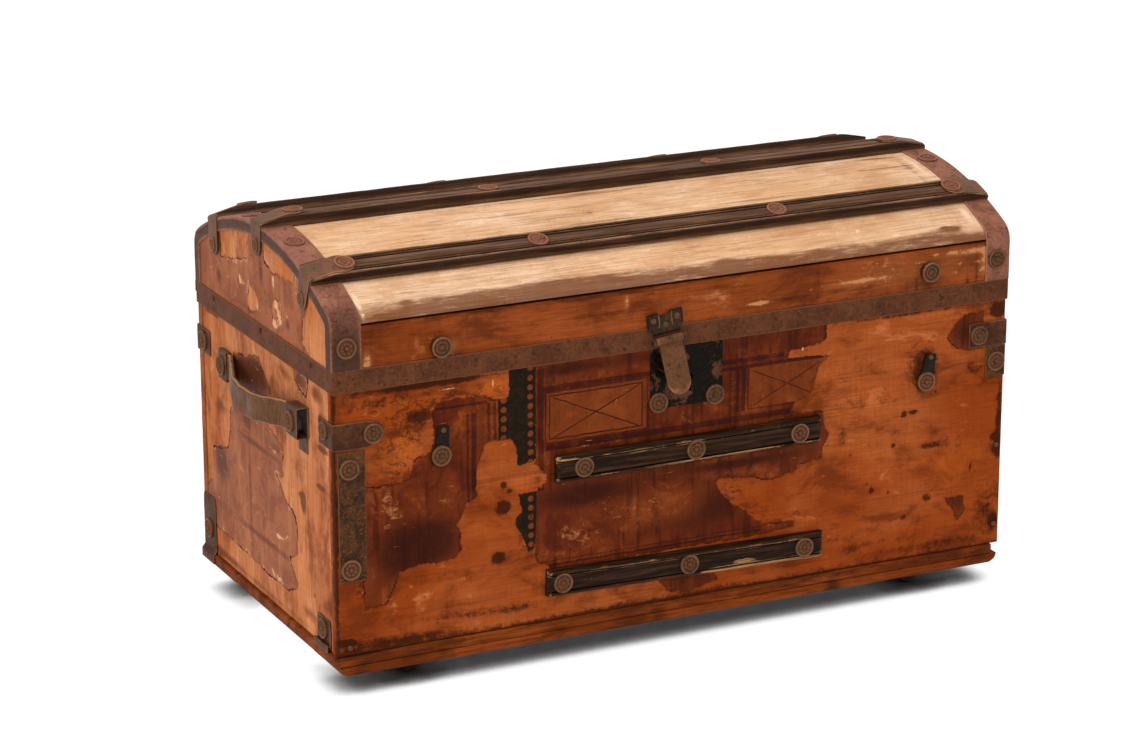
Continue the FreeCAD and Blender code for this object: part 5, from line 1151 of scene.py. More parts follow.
def slatPiece(name, seed):
    # a bead, a groove, a narrow bead, a groove and a flat middle, carried along X and bevelled at the ends
    wide = slats["width"] / 2
    side = np.array([wide, wide, wide - 0.5, wide - 1.4])
    across = np.concatenate([-side, np.linspace(-wide + 2.2, wide - 2.2, 58), side[::-1]])
    reach = np.abs(across)
    rise = slats["height"] - edgeDrop(wide - reach, 2.4) - 2.6 * np.exp(-((reach - 9.6) / 0.85)**2)
    rise = rise - 2.3 * np.exp(-((reach - 6.4) / 0.75)**2) - 0.4 * (reach < 5.6)
    rise[0] = rise[-1] = slats["height"] * 0.35
    x, v = np.meshgrid(spaced(-slats["reach"], slats["reach"], 3.2, 1.5), across, indexing="ij")
    limit = np.interp(slats["reach"] - np.abs(x), [0, slats["bevel"]], [slats["endHeight"], slats["height"]])
    wear = 0.3 * (uneven(x, v * 2, 22, seed) - 1)
    wear = wear - 0.6 * np.clip(uneven(x, v, 9, seed + 3) - 0.3, 0, 1)
    crest = np.minimum(rise[None] + wear * 0.8, limit)
    crest[:, (0, -1)] = np.minimum(rise[0], limit[:, :1])
    side = np.abs(v)
    edge = np.exp(-((side - 12.0) / 1.3)**2) * 0.75 + 0.7 * np.exp(-((side - 8.0) / 0.6)**2)
    edge = edge + 0.12 * (side < 5.5)
    edge = edge - 2.6 * np.exp(-((side - 9.6) / 0.75)**2) - 2.4 * np.exp(-((side - 6.4) / 0.6)**2)
    edge[:, :3] = edge[:, -3:] = -0.6
    whole = slab(onSlat(x, v, crest, name), onSlat(x, v, -0.6 - v**2 / 620, name), {"edge": edge})
    build(name + "_slat_worn", [whole], "slat", "lid", "dark_slat", name + "_slat")


for slatName, slatSeed in slats["seeds"].items():
    slatPiece(slatName, slatSeed)
print("bars and slats made")


def strap(line, widths, thickness, put, rim=0.35, dent=0.12, seed=0):
    # a flat strap along a bent line; widths gives its half width at each length
    points, normals, lengths = line
    t = np.array([-1, -0.965, -0.86, -0.7, -0.45, -0.15, 0.15, 0.45, 0.7, 0.86, 0.965, 1])
    across = widths(lengths)[:, None] * t[None]
    fromEnd = np.minimum(lengths, lengths[-1] - lengths)
    fall = rim * np.clip((np.abs(t) - 0.86) / 0.14, 0, 1)**2
    ends = rim * np.clip(1 - fromEnd / 0.9, 0, 1)**2
    waves = dent * (uneven(lengths[:, None] + 0 * across, across, 14, seed) - 1)
    off = thickness - np.maximum(fall[None], ends[:, None]) + waves
    outer = put(points[:, None, 0] + normals[:, None, 0] * off,
                points[:, None, 1] + normals[:, None, 1] * off, across)
    inner = put(points[:, None, 0], points[:, None, 1], across)
    edge = np.maximum(np.abs(t)[None]**8, np.exp(-fromEnd / 1.5)[:, None])
    return slab(outer, inner, {"edge": edge})


def lobed(lengths, radius, wide, neck=6.0):
    # half width of a strap that starts as a round lobe and settles to its own width
    near = np.clip(lengths / radius, 0, 1)
    start = radius * np.sqrt(np.clip(1 - (1 - near)**2, 0.0004, 1))
    settle = np.clip((lengths - radius) / neck, 0, 1)
    return start + (wide - radius) * settle * settle * (3 - 2 * settle)


# straps round the box's upper corners: side, height of the middle, reach along the front or back, square ends
wraps = {
    "front_left_strap": {"side": -1, "face": -1, "z": 251.0, "leg": 38.0, "square": False},
    "front_right_strap": {"side": 1, "face": -1, "z": 259.0, "leg": 31.0, "square": True},
    "back_left_strap": {"side": -1, "face": 1, "z": 257.0, "leg": 38.0, "square": False},
    "back_right_strap": {"side": 1, "face": 1, "z": 257.0, "leg": 38.0, "square": False},
}
wrapStrap = {"height": 25.0, "lobe": 11.0, "endLeg": 33.0, "seed": 71}


def wrapPiece(name, spec, seed):
    faceY = front if spec["face"] < 0 else back
    side = spec["side"]
    lobe = wrapStrap["lobe"]
    wide = wrapStrap["height"] / 2
    corners = [(side * (half - spec["leg"] - lobe), faceY), (side * half, faceY),
               (side * half, faceY - spec["face"] * wrapStrap["endLeg"])]

    def widths(reach):
        return wide - 1.2 * np.exp(-reach / 2.5) if spec["square"] else lobed(reach, lobe, wide)

    def put(x, y, across):
        return grid(x, y, spec["z"] + across)

    part = strap(bentPath(corners, [0.4], 2.2, (0, spec["face"])), widths, trunk["band"], put, seed=seed)
    build(name + "_worn", [part], "wrapSteel", "root", "rusty_steel", name)


for wrapIndex, (wrapName, wrapSpec) in enumerate(wraps.items()):
    wrapPiece(wrapName, wrapSpec, wrapStrap["seed"] + wrapIndex)


def plate(low, high, foot, top, onFace, seed, thickness=1.5):
    # a flat plate: a slightly dented grid with softened edges
    u, v = np.meshgrid(spaced(low, high, 2.2, 1.0), spaced(foot, top, 2.2, 1.0), indexing="ij")
    off = thickness - 0.6 * gridDrop(u, v, 1.0) + 0.14 * (uneven(u, v, 16, seed) - 1)
    nearest = np.minimum(np.minimum(u - low, high - u), np.minimum(v - foot, top - v))
    return slab(onFace(u, v, off), onFace(u, v, -0.3), {"edge": np.exp(-nearest / 1.2)})


# plates by the front's upright corners: left, right, foot, top and seed
plates = {
    "left_corner_plate": (-352.0, -325.0, 112.0, 236.0, 81),
    "right_corner_plate": (333.0, 355.0, 215.0, 246.0, 82),
}
for plateName, (*plateSides, plateSeed) in plates.items():
    build(plateName + "_worn", [plate(*plateSides, onFront, plateSeed)], "plateSteel", "root", "rusty_steel",
          plateName)

# straps at the ends' lower corners: front edge, back edge, top and foot; and how far they stand off over
# the board
lowStraps = {"places": [(-148.9, -116.9, 70.0, 40.5), (145.1, 177.1, 98.0, 31.0)], "ledge": 3.4}


def lowStrap(side, low, high, top, foot):
    # a strap down the end of the box, out over the bottom board's edge and on down to its foot
    ledge = lowStraps["ledge"]
    line = bentPath([(0.0, top), (0.0, 43.0), (ledge, 39.0), (ledge, foot)], [3.0, 3.0], 2.0, (1, 0))
    wide = (high - low) / 2

    def put(off, z, across):
        return grid(side * (half + off), (low + high) / 2 + across, z)

    return strap(line, lambda reach: wide - 2.0 * np.exp(-reach / 3.0), 1.5, put, seed=int(top))


cornerStraps = [lowStrap(side, *spot) for side in (-1, 1) for spot in lowStraps["places"]]
build("bottom_corner_straps_worn", cornerStraps, "wrapSteel", "root", "rusty_steel", "bottom_corner_straps")

hoops = {
    "left": {"side": -1, "width": 30.0, "dirt": (0.6, 0.3)},  # dirt: at the front foot, and lower down
    "right": {"side": 1, "width": 27.0, "dirt": (0.0, 0.0)},
}
hoopFoot = 313.0


def hoopPiece(name, side, width, dirt):
    # an angle section, a strip on top and a flange on the end, carried over the dome
    end = half + trunk["hoop"]
    corners = [(end, -12.0), (end, trunk["hoop"]), (end - width, trunk["hoop"])]
    points, normals, lengths = bentPath(corners, [1.4], 2.0, (1, 0))
    foot = footAlong - hoopFoot + joint
    along, line = np.meshgrid(spaced(-foot, foot, 2.8, 1.0), np.arange(len(points)), indexing="ij")
    fromRim = np.minimum(lengths, lengths[-1] - lengths)
    waves = 0.16 * (uneven(along, line * 2.0, 18, 91 + side) - 1)
    drop = 0.4 * np.exp(-fromRim / 0.5)[line] - waves
    rings = []
    for depth in (drop, trunk["hoop"] - 0.02):
        x = points[:, 0][line] - normals[:, 0][line] * depth
        rings.append(onDome(side * x, along, points[:, 1][line] - normals[:, 1][line] * depth))
    edge = np.exp(-fromRim / 1.2) + 0.6 * np.exp(-((lengths - 13.2) / 1.2)**2) - 0.8 * (lengths < 12)
    edge = edge[line] - dirt[0] * np.clip((78 - along - foot) / 26, 0, 1)
    edge = edge - dirt[1] * np.clip((40 - along - foot) / 20, 0, 1)
    build(name + "_worn", [slab(*rings, {"edge": edge})], "hoopSteel", "lid", "hoop_steel", name)


for hoopName, hoopSpec in hoops.items():
    hoopPiece(hoopName + "_hoop", **hoopSpec)

band = {"z": 302.5, "half": 10.5, "rearZ": 307.75, "rearHalf": 5.25}


def bandPiece():
    # the band in plan: down one end, along the front and back along the other end, and a strip at the back
    line = bentPath([(-half, back), (-half, front), (half, front), (half, back)], [0.4, 0.4], 3.0, (-1, 0))
    reach = half + trunk["band"]
    rear = (grid(np.linspace(-reach, reach, 120), back, 0)[:, :2], np.tile((0.0, 1.0), (120, 1)),
            np.linspace(0, 2 * reach, 120))
    parts = []
    for path, z, wide, seed in ((line, band["z"], band["half"], 95),
                                (rear, band["rearZ"], band["rearHalf"], 96)):
        parts.append(strap(path, lambda reach: wide + 0 * reach, trunk["band"],
                           lambda x, y, across: grid(x, y, z + across), seed=seed))
    build("joint_band_worn", parts, "bandSteel", "lid", "rusty_steel", "lid_band")


bandPiece()

# straps over the slats' ends, one a side; the last one at the back's right end is lost
clamps = {
    "front": {"leg": 35.0, "sides": (-1, 1), "lean": 1.05},
    "middle": {"leg": 30.0, "sides": (-1, 1), "lean": 0.5},
    "back": {"leg": 36.0, "sides": (-1,), "lean": 0.15},
}
clampStrap = {"width": 25.0, "thickness": 1.4, "reach": 44.0, "lobe": 12.4, "tip": 9.0, "discRadius": 7.0,
              "top": 9.0}


def clamp(name, side, seed):
    # over the slat from a lobe at its inner end, down the bevel, round the end and down the end of the lid
    end = slats["reach"]
    leg = clamps[name]["leg"]
    top = clampStrap["top"]
    corners = [(end - clampStrap["reach"] - 2, top), (end - slats["bevel"], top), (end, slats["endHeight"]),
               (end, -leg)]
    line = bentPath(corners, [6.0, 1.5], 1.8, (0, 1))
    total = line[2][-1]

    def widths(reach):
        onTop = lobed(reach, clampStrap["lobe"] + 0.6, clampStrap["width"] / 2 - 1.0, 10.0)
        down = np.clip((reach - (total - leg - 4)) / leg, 0, 1)
        tip = np.sqrt(np.clip(1 - np.clip(1 - (total - reach) / clampStrap["tip"], 0, 1)**2, 0.002, 1))
        return (onTop - down * 2.2) * tip

    def put(x, h, across):
        return onSlat(side * x, across, h, name, np.where(h < 0, clamps[name]["lean"], 1.0))

    return strap(line, widths, clampStrap["thickness"], put, seed=seed)


clampEnds = [(name, side) for name in clamps for side in clamps[name]["sides"]]
build("slat_clamps_worn", [clamp(*end, 100 + index) for index, end in enumerate(clampEnds)], "clampSteel",
      "lid", "hoop_steel", "slat_clamps")
print("straps made")

# turned studs from the rim to the middle: radius, rise, how high petals stand, how worn, and how many
# sides and petals
studs = {
    "disc": {
        "radius": [10, 10, 9.85, 9.4, 8.7, 8, 7.4, 6.8, 6.2, 5.4, 4.6, 3.8, 3, 2.4, 2, 1.2, 0.3],
        "rise": [-0.3, 0.7, 1.4, 2.0, 2.2, 1.9, 1.0, 0.8, 1.0, 1.55, 1.7, 1.55, 1.1, 0.9, 2.0, 2.7, 2.8],
        "petal": [0, 0, 0, 0, 0, 0, 0, 0.1, 0.35, 0.6, 0.65, 0.5, 0.2, 0, 0, 0, 0],
        "worn": [-0.6, -0.4, 0.1, 0.6, 0.8, 0.6, -0.2, -0.7, -0.3, 0.3, 0.5, 0.3, -0.3, -0.6, 0.2, 0.5, 0.5],
        "sides": 32, "petals": 8, "petalWorn": 0.5, "dents": 0.15, "offRound": 0,
    },
    "nail": {
        "radius": [2.6, 2.6, 2.392, 1.924, 1.3, 0.52, 0.078],
        "rise": [-0.36, 0.3, 0.72, 1.056, 1.2, 1.248, 1.26],
        "petal": [0] * 7, "worn": [0] * 7,
        "sides": 14, "petals": 0, "petalWorn": 0, "dents": 0, "offRound": 0.04,
    },
    "knob": {
        "radius": [9.0, 9.2, 9.9, 10, 9.7, 8.9, 8.0, 7.3, 6.6, 5.6, 4.4, 3.4, 2.6, 1.5, 0.3],
        "rise": [-0.3, 3.0, 4.6, 6.0, 7.0, 7.4, 7.0, 5.9, 5.9, 6.7, 6.9, 6.0, 6.6, 7.4, 7.6],
        "petal": [0, 0, 0, 0, 0, 0, 0, 0, 0.3, 0.5, 0.5, 0.2, 0, 0, 0],
        "worn": [-1, -0.9, -0.5, 0.1, 0.7, 0.9, 0.4, -0.9, -0.4, 0.5, 0.4, -0.8, 0.1, 0.4, 0.4],
        "sides": 36, "petals": 6, "petalWorn": 0, "dents": 0, "offRound": 0,
    },
}


def studRings(kind, seed):
    # the turned profile, whose height varies with the angle where it has petals, a little dented or off round
    spec = studs[kind]
    angle = np.linspace(0, 2 * np.pi, spec["sides"], endpoint=False)
    radius, angle = np.meshgrid(np.array(spec["radius"], float), angle, indexing="ij")
    rise, petal, worn = (np.array(spec[key], float)[:, None] for key in ("rise", "petal", "worn"))
    wave = petal * np.cos(spec["petals"] * angle)
    height = rise + wave
    if spec["dents"]:
        dents = spec["dents"] * uneven(radius * np.cos(angle) + 40 * seed, radius * np.sin(angle), 4, 7)
        height[2:] += dents[2:]
    radius = radius * (1 + spec["offRound"] * np.sin(2 * angle + seed))
    return grid(radius * np.cos(angle), radius * np.sin(angle), height), worn + wave * spec["petalWorn"]


def studPiece(name, kind, places, finish, body, *nodes):
    # copies of one stud; a place is its centre, the way it faces, how far it is turned and its size
    shells = []
    for index, (centre, facing, spin, scale) in enumerate(places):
        points, edge = studRings(kind, index + 1)
        points = points * scale
        out = np.array(facing, float)
        out /= np.linalg.norm(out)
        side = np.cross((1.0, 0.0, 0.0) if abs(out[0]) < 0.9 else (0.0, 1.0, 0.0), out)
        side /= np.linalg.norm(side)
        other = np.cross(out, side)
        turnedX = side * math.cos(spin) + other * math.sin(spin)
        turnedY = -side * math.sin(spin) + other * math.cos(spin)
        moved = np.array(centre) + points[..., :1] * turnedX + points[..., 1:2] * turnedY
        moved = moved + points[..., 2:] * out
        shells.append(tube(moved, edge))
    build(name, shells, finish, body, "disc_steel", *nodes, sharp=50)


def frontPlace(x, z, off, spin=0.0, scale=(1, 1, 1)):
    return ((x, front - off, z), (0, -1, 0), spin, scale)


def endPlace(side, y, z, off, spin=0.0, scale=(1, 1, 1)):
    return ((side * (half + off), y, z), (side, 0, 0), spin, scale)


def domePlace(x, along, off, spin=0.0, scale=(1, 1, 0.6)):
    y, z = domeLine(np.array(along), off)
    turn = along / trunk["dome"]
    return ((x, float(y), float(z)), (0, math.sin(turn), math.cos(turn)), spin, scale)


# discs on the bars as parts of a bar's length from its middle, and how far each is turned
barDiscs = {
    "upper": [(-0.404, 0.2), (0.014, 0.9), (0.413, 1.7)],
    "lower": [(-0.45, 0.5), (0.003, 1.2), (0.428, 2.2)],
}
plateDiscs = [(-27.8, 239.5, 0.3), (32.2, 239.5, 1.1), (-250.0, 220.0, 0.6), (265.0, 220.0, 1.4),
              (-317.0, 251.0, 0.1), (324.0, 259.0, 0.7), (-341.2, 220.0, 1.0), (-341.2, 124.0, 1.9),
              (344.0, 230.5, 0.4)]
endDiscs = [(-132.9, 59.0, 1.5, 0.3), (161.1, 64.0, 1.5, 0.8), (162.6, 257.0, 1.5, 1.3),
            (-91.9, 249.0, 13.4, 0.5), (100.1, 249.0, 6.9, 1.5)]
bodyDiscs = []
for barName, stops in barDiscs.items():
    bar = bars[barName]
    for share, spin in stops:
        along = share * bar["length"]
        drop = along * math.tan(math.radians(bar["tilt"])) if abs(share) > 0.1 else 0.0
        bodyDiscs.append(frontPlace(bar["x"] + along, bar["z"] - drop, 7.4, spin))
bodyDiscs += [frontPlace(x, z, 1.5, spin) for x, z, spin in plateDiscs]
for side in (-1, 1):
    bodyDiscs += [endPlace(side, *spot) for spot in endDiscs]
    bodyDiscs.append(endPlace(side, front + 20, 253.0 if side < 0 else 259.0, 1.5, 0.9, (0.9, 0.9, 0.8)))
studPiece("body_nail_discs", "disc", bodyDiscs, "discSteel", "root", "body_discs")

tall = joint - trunk["panelFoot"]
cornerNails = ((-343, 0.03), (-343, 0.95), (349, 0.08), (349, 0.4))
tabNails = ((-250, 6), (265, 12))  # middle, and the tab's lean in degrees
bodyNails = [frontPlace(x, trunk["panelFoot"] + share * tall, 0.0) for x, share in cornerNails]
bodyNails += [frontPlace(x + 24 * math.sin(math.radians(turn)), 244.0, 1.5) for x, turn in tabNails]
studPiece("body_small_nails", "nail", bodyNails, "discSteel", "root", "body_nails")

lidDiscs = []
hoopDiscs = []
legDiscs = []
hoopTop = trunk["hoop"]
for side, frontDisc in ((-1, 54), (1, 41)):
    x = side * (half + hoopTop - 15)
    hoopDiscs.append(frontPlace(x, joint + 36, hoopTop, 0.4))
    lidDiscs += [domePlace(x, domeAlong(-frontDisc), hoopTop, 0.9), domePlace(x, domeAlong(52), hoopTop, 1.6)]
for slatName, discX in (("front", 126.0), ("middle", 120.0), ("back", 122.0)):
    for side in (-1, 1):
        over = 9.0 if slatName == "back" and side > 0 else 10.4
        lidDiscs += [domePlace(side * discX, slatAlong[slatName], hoopTop + 8.7, side + 0.3),
                     domePlace(side * 320.0, slatAlong[slatName], hoopTop + over, side + 1.1)]
small = (clampStrap["discRadius"] / 10,) * 2 + (0.5,)
for name, side in clampEnds:
    drop = clamps[name]["leg"] - clampStrap["tip"] - 2
    spot = onSlat(0.0, 0.0, -drop, name, clamps[name]["lean"])
    legDiscs.append(endPlace(side, float(spot[1]), float(spot[2]), 3.0, side, small))
studPiece("lid_nail_discs", "disc", lidDiscs, "lidDiscSteel", "lid", "lid_discs")
studPiece("hoop_foot_discs", "disc", hoopDiscs, "discSteel", "lid")
studPiece("slat_strap_nails", "disc", legDiscs, "clampSteel", "lid")

hasp = {
    "x": -19.5,
    "z": 301.5,
    "tilt": 6.5,
    "ajar": 20.0,
    "roll": 4.0,
    "half": 14.0,
    "bladeHalf": 11.9,
    "tip": 12.0,
    "length": 52.0,
    "plateHalf": 18.5,
    "plateTop": 26.5,
    "rivets": [(-37 / 3, 19.7), (0, 13.75), (37 / 3, 19.7)],
}


def onHasp(u, w, off):
    # a place on the leaning hasp plate: along the pin, up from it, and out from the front of the box
    turn = math.radians(hasp["tilt"])
    return onFront(hasp["x"] + u * math.cos(turn) - w * math.sin(turn),
                   hasp["z"] + u * math.sin(turn) + w * math.cos(turn), off)


rivetScale = (1.15, 1.15, 1.4)
haspNails = [(onHasp(u, w, 3.0), (0, -1, 0), 0.0, rivetScale) for u, w in hasp["rivets"]]
studPiece("hasp_rivets", "nail", haspNails, "haspSteel", "lid")

# nails in the band, as parts of the box's length and depth
bandNails = {"z": 307.0, "front": (-0.419, -0.2465, -0.1852, 0.093, 0.2972, 0.4493), "end": (0.14, 0.5, 0.86)}
lidNails = [frontPlace(share * half * 2, bandNails["z"], trunk["band"]) for share in bandNails["front"]]
for side in (-1, 1):
    lidNails += [endPlace(side, front + share * (back - front), bandNails["z"], trunk["band"])
                 for share in bandNails["end"]]
studPiece("lid_small_nails", "nail", lidNails, "bandSteel", "lid", "lid_nails")
print("discs and nails made")

handle = {
    "z": 249.0,
    "wide": 27.0,
    "thick": 4.6,
    "sag": 4.4,
    "grip": (-77.6, 66.1),
    # the strap's line in plan, off the panel and along Y, from inside the loop over the bow to the rear plate
    "line": [(9.2, -95.0), (9.4, -78.0), (10.0, -64.0), (16.5, -47.0), (23.4, -26.0), (24.4, 4.0),
             (22.2, 28.0), (16.5, 47.0), (10.4, 65.0), (3.0, 84.0), (2.6, 109.0)],
    "bend": 12.0,
    "gap": 0.3,  # between the grip and the fixed ends
    "steel": 1.5,
    "loops": [(13.4, 3.0, -105.9, -77.9, 131), (6.9, 2.0, 90.1, 110.1, 132)],  # reach, bend, from, to, seed
    "foot": (-105.4, -78.4),
    "tail": (-101.9, -81.9),
    "tailLength": 16.0,
}


def handlePieces(side, word):
    points, normals, lengths = bentPath(handle["line"], [handle["bend"]] * 9, 2.6, (1, 0))
    points = points - normals * handle["thick"] / 2
    low, high = handle["grip"]

    def put(off, y, across):
        # the grip sags between its ends
        share = np.clip((y - low) / (high - low), 0, 1)
        return grid(side * (half + off), y, handle["z"] + across - handle["sag"] * np.sin(np.pi * share)**1.3)

    def cutLine(start, end):
        within = (points[:, 1] >= start) & (points[:, 1] <= end)
        return points[within], normals[within], lengths[within] - lengths[within][0]

    def widths(reach):
        return handle["wide"] / 2 - 0.5 + 0.35 * np.sin(reach / 9.0) + 0.2 * np.sin(reach / 3.7)

    grip = strap(cutLine(low, high), widths, handle["thick"], put, 1.4, 0.7, 121 + side)
    build(word + "_leather_grip", [grip], "leather", word + "_handle", "old_leather", word + "_handle_strap")
    spans = ((handle["line"][0][1] - 1, low - handle["gap"]),
             (high + handle["gap"], handle["line"][-1][1] + 1))
    ends = [strap(cutLine(*span), widths, handle["thick"], put, 1.2, 0.4, 5) for span in spans]
    build(word + "_leather_ends", ends, "leather", "root", "old_leather", word + "_strap_ends")

    # the loop and the rear plate: thin steel carried round the strap, and the loop's foot plate
    tall = handle["wide"] / 2 + 1.9

    def ring(reach, bend, start, end, seed):
        corners = [(0.2, -tall), (reach, -tall), (reach, tall), (0.2, tall)]
        line, outward, stops = bentPath(corners, [bend] * 2, 1.6, (0, -1))

        def around(off, z, across):
            return grid(side * (half + off), (start + end) / 2 + across, handle["z"] + z)

        line = line - outward * handle["steel"]
        return strap((line, outward, stops), lambda along: (end - start) / 2 + 0 * along, handle["steel"],
                     around, 0.6, 0.4, seed)

    foot = handle["z"] - tall
    steelParts = [ring(*loop) for loop in handle["loops"]]
    steelParts.append(plate(*handle["foot"], foot + 1, handle["z"] + tall - 1, onEnd(side), 133, 1.4))
    steelParts.append(plate(*handle["tail"], foot - handle["tailLength"], foot + 2, onEnd(side), 134, 1.3))
    build(word + "_handle_steel", steelParts, "loopSteel", "root", "rusty_steel", word + "_handle_loops")


handlePieces(-1, "left")
handlePieces(1, "right")
print("handles made")


def haspTurned(u, y, w):
    # a place on the tongue, hanging from the pin and then turned ajar and leant with the plate
    ajar = math.radians(hasp["ajar"])
    outY = y * math.cos(ajar) + w * math.sin(ajar)
    upW = -y * math.sin(ajar) + w * math.cos(ajar)
    return onHasp(u, upW, 2 * trunk["band"] + hasp["roll"] - outY)


def rolled(low, high, radius, placeAt, seed):
    # a rolled sheet round the pin: rings along it, softened at both ends and a little uneven
    along = spaced(low, high, 1.6, 0.4)
    softened = radius - 0.5 * np.exp(-np.minimum(along - low, high - along) / 0.35)
    angle = np.linspace(0, 2 * np.pi, 20, endpoint=False)
    u, turn = np.meshgrid(along, angle, indexing="ij")
    reach = softened[:, None] + 0.12 * (uneven(u * 2, turn * radius, 5, seed) - 1)
    start = np.full_like(u[:1], 0.05)
    u = np.concatenate([u[:1], u, u[-1:]])
    turn = np.concatenate([turn[:1], turn, turn[:1]])
    reach = np.concatenate([start, reach, start])
    return tube(placeAt(u, reach * np.cos(turn), reach * np.sin(turn)), 0.5 + 0 * reach)


def haspPlate():
    # a flat plate with two ridges and a raised lower rim, cut away at its lower corners and in the middle
    # of its top
    wide = hasp["plateHalf"]
    top = hasp["plateTop"]
    u = np.unique(np.concatenate([spaced(-wide, wide, 1.6, 0.5), [-14.0, -6.5, 6.0, 14.5]]))
    w = np.unique(np.concatenate([spaced(hasp["roll"] + 1.2, top, 1.6, 0.5), [12.0, top - 3.2]]))
    u, w = np.meshgrid(u, w, indexing="ij")
    middleU = centres(u)
    middleW = centres(w)
    cutAway = (np.abs(middleU) > 14.2) & (middleW < 12.0)
    cutAway |= (middleU > -6.5) & (middleU < 6.0) & (middleW > top - 3.2)
    ridges = np.exp(-((np.abs(u - 0.2) - 6.4) / 0.7)**2) * (w > 12) + np.exp(-((w - 11.4) / 0.7)**2)
    off = trunk["band"] * 2 + 0.1 + 0.5 * ridges - 0.5 * gridDrop(u, w, 0.9)
    off = off + 0.2 * (uneven(u * 2, w * 2, 9, 141) - 1)
    edge = 1.5 * ridges - 0.3 - 0.9 * (gridDrop(u, w, 1.2) > 0.05)
    whole = slab(onHasp(u, w, off), onHasp(u, w, trunk["band"] + 0.05), {"edge": edge}, ~cutAway)

    def plateRoll(along, y, z):
        return onHasp(along, z, 2 * trunk["band"] + hasp["roll"] - y)

    spans = ((-17.6, -14.6), (14.6, 17.6))
    ears = [rolled(low, high, hasp["roll"] * 0.95, plateRoll, 142) for low, high in spans]
    build("hasp_plate_worn", [whole] + ears, "haspPlateSteel", "lid", "rusty_steel", "hasp_plate")


def haspTongue():
    # its half width narrows and ends in a round tip; the blade lies just behind the pin, and carries the
    # staple
    low = spaced(0.0, hasp["length"], 1.8, 0.25)
    part = np.array([0.25, 0.5, 0.75, 0.9, 0.98, 1])
    fall, share = np.meshgrid(low, np.concatenate([-part[::-1], [0], part]), indexing="ij")
    past = np.clip(fall - hasp["length"] + hasp["tip"], 0, None)
    tip = np.sqrt(np.clip(hasp["tip"]**2 - past**2, 0.01, None))
    across = share * np.minimum(hasp["bladeHalf"], tip) + 1.6 * (1 - fall / hasp["length"])
    rim = 0.6 * np.clip((np.abs(share) - 0.85) / 0.15, 0, 1)**2 + 0.5 * np.exp(-(hasp["length"] - fall) / 0.6)
    face = 1.0 + rim - 0.35 * (1 - share**2) - 0.15 * uneven(fall * 2, share * 30, 11, 143)
    edge = 0.8 * np.abs(share)**10 + 0.7 * np.clip((fall - 40) / 8, 0, 1) - 0.9 * np.exp(-fall / 5.0)
    blade = slab(haspTurned(across, face, -fall), haspTurned(across, 3.4, -fall), {"edge": edge})
    y = [3.2, 5.0, 7.0, 9.5, 12.0, 14.4]
    w = [-38.0, -36.6, -35.6, -32, -28.4, -27.4, -26.0]
    y, w = np.meshgrid(y, w, indexing="ij")
    eye = (centres(y) > 5.0) & (centres(y) < 12.0) & (np.abs(centres(w) + 32) < 3.5)
    staple = slab(haspTurned(2.0 - 0.3 * gridDrop(y, w, 1.0), y, w), haspTurned(-2.0, y, w),
                  {"edge": 0 * y}, ~eye)
    roll = rolled(-hasp["half"], hasp["half"], hasp["roll"], haspTurned, 144)
    build("hasp_tongue_worn", [blade, staple, roll], "haspSteel", "hasp", "rusty_steel", "hasp_tongue")


haspPlate()
haspTongue()
knobs = [frontPlace(-250.0, 324.0, 0.0, 0.3), frontPlace(265.0, 331.0, 0.0, 0.9)]
studPiece("catch_knobs_worn", "knob", knobs, "discSteel", "lid", "catch_knobs")
print("hasp and knobs made")

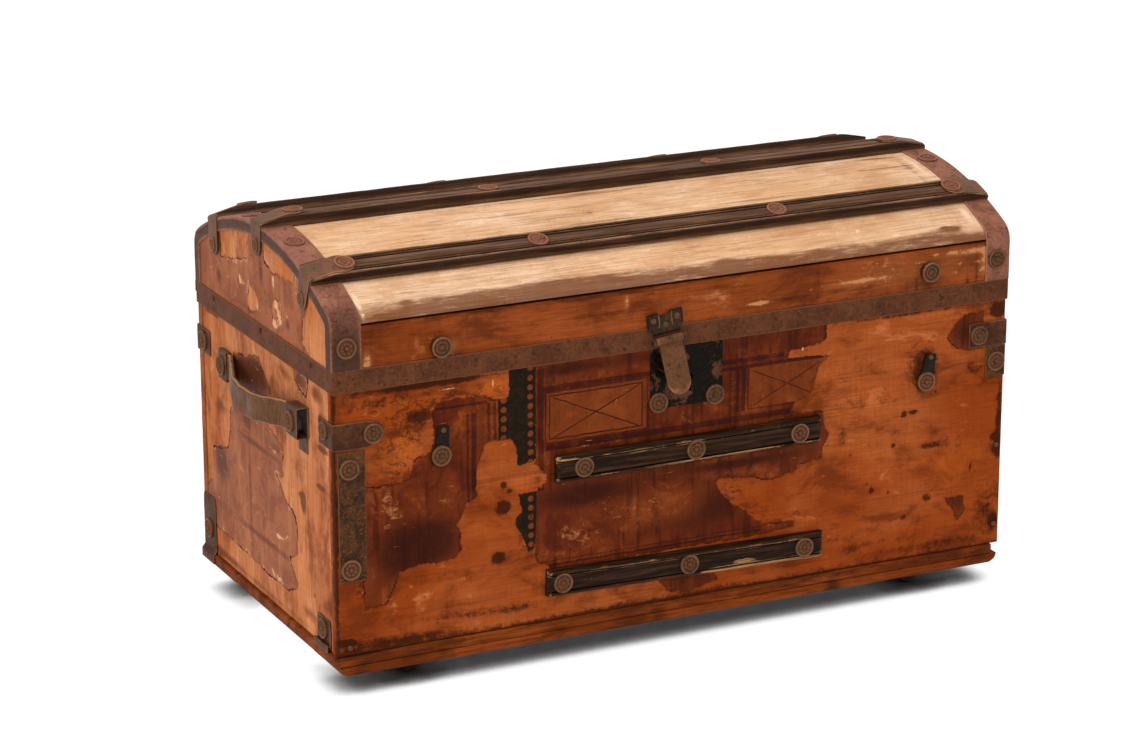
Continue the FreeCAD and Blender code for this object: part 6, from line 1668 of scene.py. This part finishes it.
# the solids that stay as they are, by finish
kept = {
    "bandSteel": ["lock_case"],
    "lockSteel": ["lock_plate"],
    "blackSteel": ["body_catch_tabs"],
    "haspSteel": ["hasp_pin", "lock_bolt"],
    "hingeSteel": ["hinge_body_leaves", "hinge_lid_leaves", "hinge_pins"],
    "casterSteel": ["caster_frames", "caster_axles", "front_left_caster_wheel", "front_right_caster_wheel",
                    "back_left_caster_wheel", "back_right_caster_wheel"],
}
for finishName, nodeNames in kept.items():
    for nodeName in nodeNames:
        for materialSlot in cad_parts[nodeName].material_slots:
            materialSlot.material = finishes[finishName]


def seenDirectly():
    # 1 for the camera and for what metal or glass shows of the room
    rays = ("Is Camera Ray", "Is Glossy Ray", "Is Transmission Ray")
    return anyOf([addNode("LightPath", {}, key) for key in rays])


def makeFloor():
    # white for the camera, dark only where the trunk stands close over it
    material = newFinish("white_floor")
    surface((250, 250, 250), 0.9, 0.1)
    near = addNode("AmbientOcclusion", {"Distance": room["shadowReach"]}, "AO", samples=12)
    glow = addNode("Emission", {"Color": (255, 255, 255), "Strength": fade(near, 0.38, 0.76)})
    paint = addNode("BsdfDiffuse", {"Color": (room["floorShade"],) * 3})
    both = addNode("AddShader", {0: glow, 1: paint})
    plain = Level(nodeOf("BSDF_PRINCIPLED").outputs[0])
    feed(nodeOf("OUTPUT_MATERIAL").inputs, {0: addNode("MixShader", {0: seenDirectly(), 1: plain, 2: both})})
    (lowX, lowY), (highX, highY) = room["floor"]
    mesh = bpy.data.meshes.new("floor")
    corners = [(lowX, lowY, 0), (highX, lowY, 0), (highX, highY, 0), (lowX, highY, 0)]
    mesh.from_pydata(corners, [], [(0, 1, 2, 3)])
    mesh.materials.append(material)
    addThing("floor", mesh)


def makeWorld():
    # grey light on the object, white behind it
    world = bpy.data.worlds.new("room")
    bpy.context.scene.world = world
    world.use_nodes = True
    current["tree"] = world.node_tree
    light = nodeOf("BACKGROUND")
    feed(light.inputs, {"Color": (255, 255, 255), "Strength": room["world"]})
    white = addNode("Background", {"Color": (255, 255, 255), "Strength": 1.0})
    mixed = addNode("MixShader", {0: seenDirectly(), 1: Level(light.outputs[0]), 2: white})
    feed(nodeOf("OUTPUT_WORLD").inputs, {0: mixed})


makeFloor()
makeWorld()
setLamps(lamps)
setCamera(camera)
bpy.context.scene.view_settings.view_transform = "Standard"
print("stage made")
